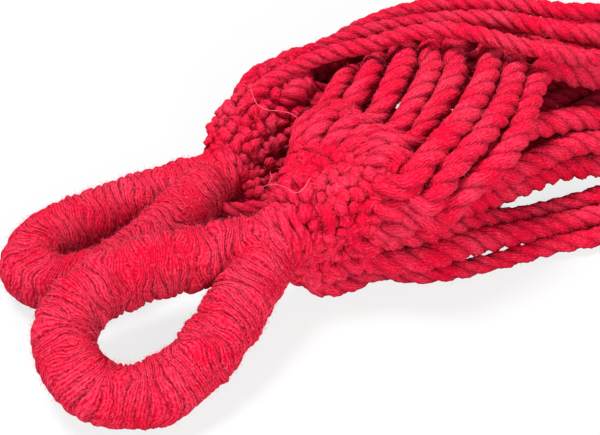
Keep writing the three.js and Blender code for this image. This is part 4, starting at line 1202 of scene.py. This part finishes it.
for whipped, side in eye_meshes:
    eye = EYES[side]
    neck, along = np.array(eye["neck"]), eye_axes(eye)[0]
    fuzz = fibres_on([whipped], f"{side}_eye_fibres", density=6.5e5, length=0.0014, thickness=0.00005, seed=3)
    for piece in (whipped, fuzz):
        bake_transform(piece)
for side, density in FIBRE_ENDS.items():
    pads = [piece for piece in clews if piece.name.startswith(side)]
    fuzz = fibres_on(pads, f"{side}_clew_fibres", density, length=0.0015, thickness=0.00005, seed=5)
    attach(fuzz, "hammock")
    bundle = [rope for rope in ropes if rope.name.startswith(side)]
    fuzz = fibres_on(bundle, f"{side}_rope_fibres", density=1.0e5, length=0.0015, thickness=0.00006, seed=6)
    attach(fuzz, "hammock")

# --- Stray yarns --------------------------------------------------------------------------------------
# A few single yarns have worked loose from the cotton strands of the clews. Their ends stand up in slack
# curves over the weave.
STRAY_YARNS = {
    "far": [
        [(-0.4176, 0.0244, 0.0360), (-0.4192, 0.0165, 0.0380), (-0.4197, 0.0074, 0.0385),
         (-0.4177, 0.0027, 0.0390), (-0.4145, -0.0006, 0.0400), (-0.4118, -0.0050, 0.0410),
         (-0.4109, -0.0158, 0.0425)],
    ],
    "near": [
        [(-0.4310, -0.0350, 0.0370), (-0.4288, -0.0384, 0.0400), (-0.4263, -0.0436, 0.0420),
         (-0.4245, -0.0488, 0.0430), (-0.4217, -0.0478, 0.0435), (-0.4186, -0.0442, 0.0440)],
        [(-0.4290, -0.0349, 0.0380), (-0.4285, -0.0368, 0.0410), (-0.4287, -0.0362, 0.0430)],
    ],
}
for side, yarns in STRAY_YARNS.items():
    yarn = laid_cords(f"{side}_clew_loose_yarns", [smooth_line(points, 0.0005)[0] for points in yarns],
                      down_cotton, start=0.00024, end=0.00028, lay=0.002, strands=2, unevenness=0.2, seed=4)
    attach(yarn, "hammock")

# --- Studio -------------------------------------------------------------------------------------------
# A white sweep in an even white room, with a soft round light above and behind the clews and a broader
# one in front.
FLOOR_HALF = 4
FLOOR_GLOW = 0.80  # the share of pure white that is seen in the floor
ROOM_LIGHT = 0.22  # what the room lights with, where its walls look pure white


def seen_share(tree):
    """1 for what is seen straight on, mirrored or through glass, and 0 for what only lights other things."""
    path = add(tree, "ShaderNodeLightPath").node.outputs
    seen = add(tree, "ShaderNodeMath", [path["Is Glossy Ray"], path["Is Transmission Ray"]],
               operation="MAXIMUM")
    return add(tree, "ShaderNodeMath", [path["Is Camera Ray"], seen], operation="MAXIMUM")


floor_mesh = bpy.data.meshes.new("floor")
floor_mesh.from_pydata([(x * FLOOR_HALF, y * FLOOR_HALF, 0) for x, y in ((-1, -1), (1, -1), (1, 1), (-1, 1))],
                       [], [(0, 1, 2, 3)])
floor = bpy.data.objects.new("floor", floor_mesh)
floor.location.z = -0.0003
scene.collection.objects.link(floor)
white, tree, shader = finish_of("white_sweep", 0.0, roughness=1.0)
shader.inputs["Base Color"].default_value = (0.6, 0.6, 0.6, 1)
shader.inputs["Specular IOR Level"].default_value = 0.0
glow = add(tree, "ShaderNodeEmission", {"Color": (1, 1, 1, 1), "Strength": 1.0})
share = add(tree, "ShaderNodeMath", [seen_share(tree), FLOOR_GLOW], operation="MULTIPLY")
mixed = add(tree, "ShaderNodeMixShader", [share, shader.outputs[0], glow])
tree.links.new(mixed, tree.nodes["Material Output"].inputs["Surface"])
floor_mesh.materials.append(white)

world = bpy.data.worlds.new("white_room")
scene.world = world
world.use_nodes = True
tree = world.node_tree
tree.nodes["Background"].inputs["Color"].default_value = (1, 1, 1, 1)
strength = add(tree, "ShaderNodeMath", [seen_share(tree), 1 - ROOM_LIGHT, ROOM_LIGHT],
               operation="MULTIPLY_ADD")
tree.links.new(strength, tree.nodes["Background"].inputs["Strength"])

for name, spot, size, power in (
    ("key", (-0.74, 0.22, 1.28), 0.45, 23.0),
    ("front", (-0.40, -1.40, 0.70), 0.9, 23.0),
):
    lamp = bpy.data.lights.new(name, "AREA")
    lamp.shape = "DISK"
    lamp.size = size
    lamp.energy = power
    light = bpy.data.objects.new(name, lamp)
    light.location = spot
    light.rotation_euler = (Vector((-0.38, 0, 0)) - Vector(spot)).to_track_quat("-Z", "Y").to_euler()
    scene.collection.objects.link(light)

scene.view_settings.view_transform = "Standard"
